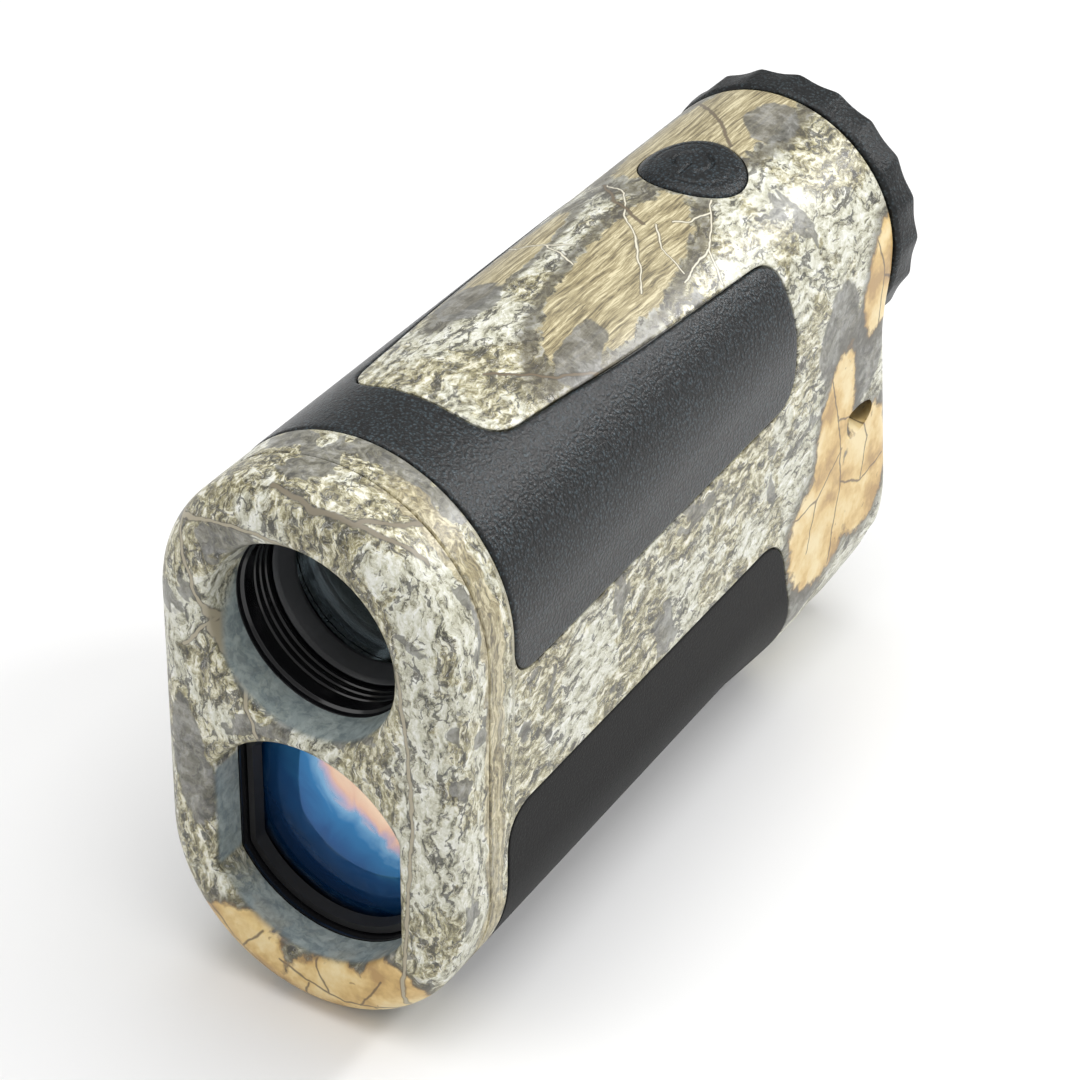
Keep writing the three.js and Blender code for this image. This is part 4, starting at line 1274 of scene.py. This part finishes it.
LEFT_LEAVES = [
    (92, 45, 4.2, 9, -16), (97, 35, 5.5, 8, 15), (90, 33.5, 4, 7, 35),
    (27, 41, 8.5, 3.6, 28), (34, 37.5, 7, 4, -22), (37, 42.5, 4.5, 3.4, 50)]
LEFT_VEINS = [
    [(20, 37), (27, 40.6), (33, 40), (41, 37)], [(27, 40.6), (29, 44)], [(33, 40), (38, 45)],
    [(30, 40.3), (34, 35)],
    [(90, 54), (93, 43), (97, 28)], [(93, 43), (99, 41)], [(94.5, 37), (88, 28)], [(92, 47), (89, 44)]]
LEFT_SHADES = [(58, 37, 8, 3.6, -12), (86, 52, 5, 8, 12), (22, 33, 5, 3, 0)]
FRONT_LEAVES = [(-9.5, 6, 6.5, 5, -14), (5, 3.5, 9, 5.5, 8), (11.5, 8.5, 4, 4, 0)]
FRONT_VEINS = [
    [(-14, 10), (-9.5, 5.5), (-4, 2)], [(-9.5, 5.5), (-6.5, 9)], [(-4, 6), (5, 3.5), (13, 5)],
    [(3, 4), (1, 8)], [(7, 3.8), (10.5, 9)], [(0, 4.5), (-1, 0.5)], [(9, 4), (12, 0.5)]]
TOP_TWIGS = [
    [(-10.5, 75), (-8.3, 76.2), (-4, 73.5), (-0.8, 68.9), (2.6, 66), (4.7, 63), (8.2, 58.1)],
    [(-12, 61), (-10, 59.4), (-5.5, 59.4), (-3, 58.1), (-0.1, 56.4)],
    [(-5.5, 59.4), (-2.4, 60.2)],
    [(5.4, 78.5), (7.6, 74.5), (9.4, 71.2), (12.5, 69.2)],
    [(9.4, 71.2), (9.6, 67.5), (10.4, 64.3)],
    [(6.4, 76.6), (5.6, 73), (4.4, 71.2)],
    [(3, 69.5), (6, 66), (9.5, 65.2)]]
DARK_TWIGS = [
    [(-11, 101), (-8, 98.5), (-2.1, 93.1), (1.2, 89.4)], [(-8.3, 76.2), (-3.5, 71), (2, 68.5)],
    [(4, 32), (9, 38), (12.5, 46)]]
BEZEL_TWIGS = [
    [(-4, 2.2), (2, 1), (8.7, 2.3), (14.5, 4.9)], [(7, 1.9), (10.5, 5.6), (11.5, 8)]]
FRONT_TWIGS = [
    [(-18, 67), (-16.3, 63.4), (-13.7, 54.5), (-11.2, 47), (-7.4, 41.5), (-5.9, 37.5)],
    [(-16.3, 63.4), (-11, 65.4), (-5.1, 65.9), (0.8, 65.2)],
    [(13.5, 54.3), (14.8, 44), (15.2, 33.5), (14.2, 19.6), (13.2, 6)],
    [(-12.6, 50.5), (-15.5, 47)]]


# Colours by slant: the deep blues are the coating, the cream and pink band is a painted reflection.
COATING_AND_PAINTED_REFLECTION = [
    (0.00, "1b4f80"), (0.12, "3c7aa8"), (0.17, "b9a6b0"), (0.20, "ead2b4"), (0.22, "f4dcbe"),
    (0.265, "e8bfa8"), (0.285, "c9b3c4"), (0.305, "7fb0d6"), (0.34, "2f7bb4"), (0.42, "175590"),
    (0.55, "0d3561"), (0.75, "071c36")]
COATING_MIRROR = [(0.1, 0.45), (0.2, 0.85), (0.26, 0.85), (0.36, 0.55), (0.6, 0.4)]


def coated_glass_painted_reflection_material(name):
    """Receiver lens with an interference coating that mirrors part of the light, and a painted reflection
    in its colour.

    Straight on it is a deep blue, at a low slant a warm cream and pink painted reflection, and beyond that
    blue; light-blue painted reflection streaks lie in rings."""
    n = Nodes(name)
    place = n.station_mm()
    x, _, z = n.axes(place)
    # The painted reflection streaks lie in rings, which are drawn over the root of the distance from the
    # axis.
    radius_root = n.math("SQRT", n.ovals(x, z, [(0.0, RECEIVER_AXIS, 1.0, 1.0, 0)]))
    ripple = n.noise(place, 0.16, 3, 0.5, 1.5)
    facing = n.add("ShaderNodeLayerWeight", {"Blend": 0.5}).outputs["Facing"]
    angle = n.plus(facing, n.times(n.less(ripple, 0.5), 0.12))
    turned_place = n.add("ShaderNodeCombineXYZ", {0: n.plus(radius_root, ripple)}).outputs[0]
    painted_reflection_streaks = n.step(n.noise(turned_place, 0.9, 3, 0.6), 0.54, 0.66)
    painted_reflection_streaks = n.times(painted_reflection_streaks, n.step(radius_root, 2.5, 4.5), 0.4)
    # Painted reflection: the cream and pink band and the light-blue streaks stand in for reflected light,
    # in the base colour.
    color = n.mix(painted_reflection_streaks, n.ramp(angle, COATING_AND_PAINTED_REFLECTION), "8cc0de")
    mirror = n.ramp(angle, [(position, (share,) * 3) for position, share in COATING_MIRROR])
    return n.principled(
        Base_Color=color, Metallic=mirror, Roughness=n.plus(0.03, n.times(ripple, 0.05)),
        Specular_IOR_Level=0.5)


# Dark tint and light tint, the light one painted sparkle on the pebble tops, grain size and depth in
# metres, roughness, gloss.
RUBBERS = {
    "grip_rubber": ("060708", "37444a", 0.00036, 0.00008, 0.24, 0.42),
    "pad_rubber": ("0a0a0a", "1c1c1c", 0.0003, 0.00003, 0.5, 0.2),
    "eyecup_rubber": ("090b0c", "333d41", 0.00038, 0.00009, 0.34, 0.35),
    "button_rubber": ("0a0c0d", "36434a", 0.00036, 0.00009, 0.26, 0.35),
}
# Linear colour, roughness, speckle, metallic, noise scale.
PLASTICS = {
    "seal_rubber": ((0.015, 0.015, 0.015), 0.6),
    "cast_aluminium": ((0.42, 0.43, 0.45), 0.45, 0.05, 1.0, 600),
    "screw_steel": ((0.5, 0.51, 0.52), 0.3, 0.04, 1.0, 1200),
    "gloss_black": ((0.006, 0.006, 0.007), 0.12, 0.02),
    "matt_black": ((0.012, 0.012, 0.013), 0.5, 0.05),
    "ring_grey": ((0.05, 0.052, 0.056), 0.35, 0.04),
    "gold_plate": ((0.75, 0.52, 0.18), 0.3, 0.04, 1.0),
    "circuit_board": ((0.02, 0.12, 0.05), 0.4, 0.08),
    "chip_black": ((0.02, 0.02, 0.02), 0.45),
    "flex_film": ((0.4, 0.16, 0.03), 0.35, 0.05),
    "cell_wrap": ((0.02, 0.06, 0.25), 0.35),
}
# Layers of the print: (side, shapes), (side, leaves, veins), (side, lines, width, core, outline).
SHELL_PRINT = (
    [("right", RIGHT_SHADES), ("left", LEFT_SHADES), ("top", TOP_SHADES)],
    [("right", RIGHT_LEAVES, RIGHT_VEINS), ("left", LEFT_LEAVES, LEFT_VEINS)],
    [("top", TOP_TWIGS, 0.09, "dfd9c4", "4a4232"), ("top", DARK_TWIGS, 0.14, "6a5a42", "3f3626")])
FRONT_PRINT = (
    [("front", FRONT_SHADES)],
    [("front", FRONT_LEAVES, FRONT_VEINS)],
    [("front", FRONT_TWIGS, 0.2, "aaa088", "3b3223"), ("top", BEZEL_TWIGS, 0.2, "7d725c", "332b1e")])


def make_materials():
    made = {
        "camo_shell": camo_material("camo_film", *SHELL_PRINT),
        "camo_front": camo_material("camo_film_front", *FRONT_PRINT, funnels=True),
        "clear_glass": glass_material("clear_glass"),
        "coated_glass": coated_glass_painted_reflection_material("coated_glass"),
    }
    made.update((name, rubber_material(name, *given)) for name, given in RUBBERS.items())
    made.update((name, plastic_material(name, *given)) for name, given in PLASTICS.items())
    return made


# ---------------------------------------------------------------- stage


WORLD_STRENGTH = 0.45
FLOOR_HALF = 6.0
FLOOR_DROP = 0.0002


def make_stage():
    world = bpy.data.worlds.new("studio")
    bpy.context.scene.world = world
    world.use_nodes = True
    background = world.node_tree.nodes["Background"]
    background.inputs["Color"].default_value = (1.0, 1.0, 1.0, 1.0)
    background.inputs["Strength"].default_value = WORLD_STRENGTH
    bpy.context.scene.view_settings.view_transform = "Standard"
    corners = [(-1, -1), (1, -1), (1, 1), (-1, 1)]
    mesh = bpy.data.meshes.new("floor")
    mesh.from_pydata([(FLOOR_HALF * a, FLOOR_HALF * b, 0) for a, b in corners], [], [(0, 1, 2, 3)])
    floor = bpy.data.objects.new("floor", mesh)
    bpy.context.scene.collection.objects.link(floor)
    floor.location.z = -FLOOR_DROP
    n = Nodes("floor_paper")
    paper = n.ramp(n.noise(n.place(), 4, 2, 0.5), [(0.0, (0.86,) * 3), (1.0, (0.9,) * 3)])
    n.principled(Base_Color=paper, Roughness=0.8)
    floor.data.materials.append(n.material)


# Name, place, height of the aim, side and power, in metres and watts.
LIGHTS = [
    ("overhead", (0.05, 0.0, 0.75), 0.04, 0.7, 4.3),
    ("key_left", (-0.5, -0.55, 0.45), 0.04, 0.45, 0.9),
    ("fill_right", (0.65, -0.35, 0.35), 0.04, 0.5, 0.5),
    ("rim_rear_right", (0.36, 0.50, 0.44), 0.05, 0.12, 2.2),
]


def make_lights():
    for name, place, aim_height, side, power in LIGHTS:
        data = bpy.data.lights.new(name, "AREA")
        data.shape = "RECTANGLE"
        data.size = data.size_y = side
        data.energy = power
        lamp = bpy.data.objects.new(name, data)
        bpy.context.scene.collection.objects.link(lamp)
        lamp.location = place
        direction = Vector((0, 0, aim_height)) - Vector(place)
        lamp.rotation_euler = direction.to_track_quat("-Z", "Y").to_euler()


CAMERA_AZIMUTH = 33.06
CAMERA_ELEVATION = 35.0
CAMERA_LENS = 159.7
CAMERA_DISTANCE = 0.5711
CAMERA_TARGET_STATION = 50.0
CAMERA_TARGET_HEIGHT = 37.0
CAMERA_SLIDE = (-0.00036, 0.00051)


def make_camera():
    data = bpy.data.cameras.new("camera")
    data.lens = CAMERA_LENS
    data.sensor_width = 36.0
    data.clip_start = 0.01
    camera = bpy.data.objects.new("camera", data)
    bpy.context.scene.collection.objects.link(camera)
    a, e = math.radians(CAMERA_AZIMUTH), math.radians(CAMERA_ELEVATION)
    back = Vector((math.sin(a) * math.cos(e), -math.cos(a) * math.cos(e), math.sin(e)))
    right = Vector((math.cos(a), math.sin(a), 0))
    up = back.cross(right)
    target = Vector((0, FRONT_Y + CAMERA_TARGET_STATION * MM, CAMERA_TARGET_HEIGHT * MM))
    target += right * CAMERA_SLIDE[0] + up * CAMERA_SLIDE[1]
    turn = Matrix((right, up, back)).transposed().to_4x4()
    camera.matrix_world = Matrix.Translation(target + back * CAMERA_DISTANCE) @ turn
    bpy.context.scene.camera = camera


# ---------------------------------------------------------------- assembly


# Nodes whose look differs from their slot's.
OWN_LOOKS = {"front_bezel": "camo_front", "power_button": "button_rubber", "eye_lens": "clear_glass"}


def build():
    make_camera()
    materials = make_materials()
    slots = {part["node"]: part["material_slot"] for part in frame["record"]["subparts"]}
    for node, obj in frame["nodes"].items():
        obj.data.materials.clear()
        obj.data.materials.append(materials[slots[node]])
    pieces = [
        (make_bezel(), "root", "front_bezel"),
        (make_housing(), "root", "main_housing"),
        (make_wrap_grip(), "root", "wrap_grip"),
        (make_belly_pad(), "root", "belly_pad"),
        (make_barrel(), "root", "objective_barrel"),
        (make_objective_ring(), "root", "objective_retaining_ring"),
        (make_lens("objective_glass_front", 11.4, 14.3, 18, 1.2, 0.9, VIEW_AXIS),
         "root", "objective_lens_front"),
        (make_lens("objective_glass_rear", 11.4, 18.4, 21, -0.9, 0, VIEW_AXIS),
         "root", "objective_lens_rear"),
        (make_receiver_frame(), "root", "receiver_lens_frame"),
        (make_receiver_retainer(), "root", "receiver_retainer"),
        (make_receiver_lens(), "root", "receiver_lens"),
        (make_eyecup(), "eyecup", "diopter_eyecup"),
        (make_lens("eye_glass", 9.1, 97.5, 101.4, 0.8, 1.2, EYE_AXIS), "ocular", "eye_lens"),
        (make_power_button(), "power_button", "power_button"),
        (make_mode_button(), "mode_button", "mode_button"),
        (make_battery_cap(), "battery_cap", "battery_cap"),
        (make_cap_tab(), "cap_tab", "cap_tab"),
    ]
    for piece, body, node in pieces:
        piece.data.materials.clear()
        piece.data.materials.append(materials[OWN_LOOKS.get(node, slots[node])])
        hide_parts(node)
        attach(piece, body)
    make_stage()
    make_lights()


build()
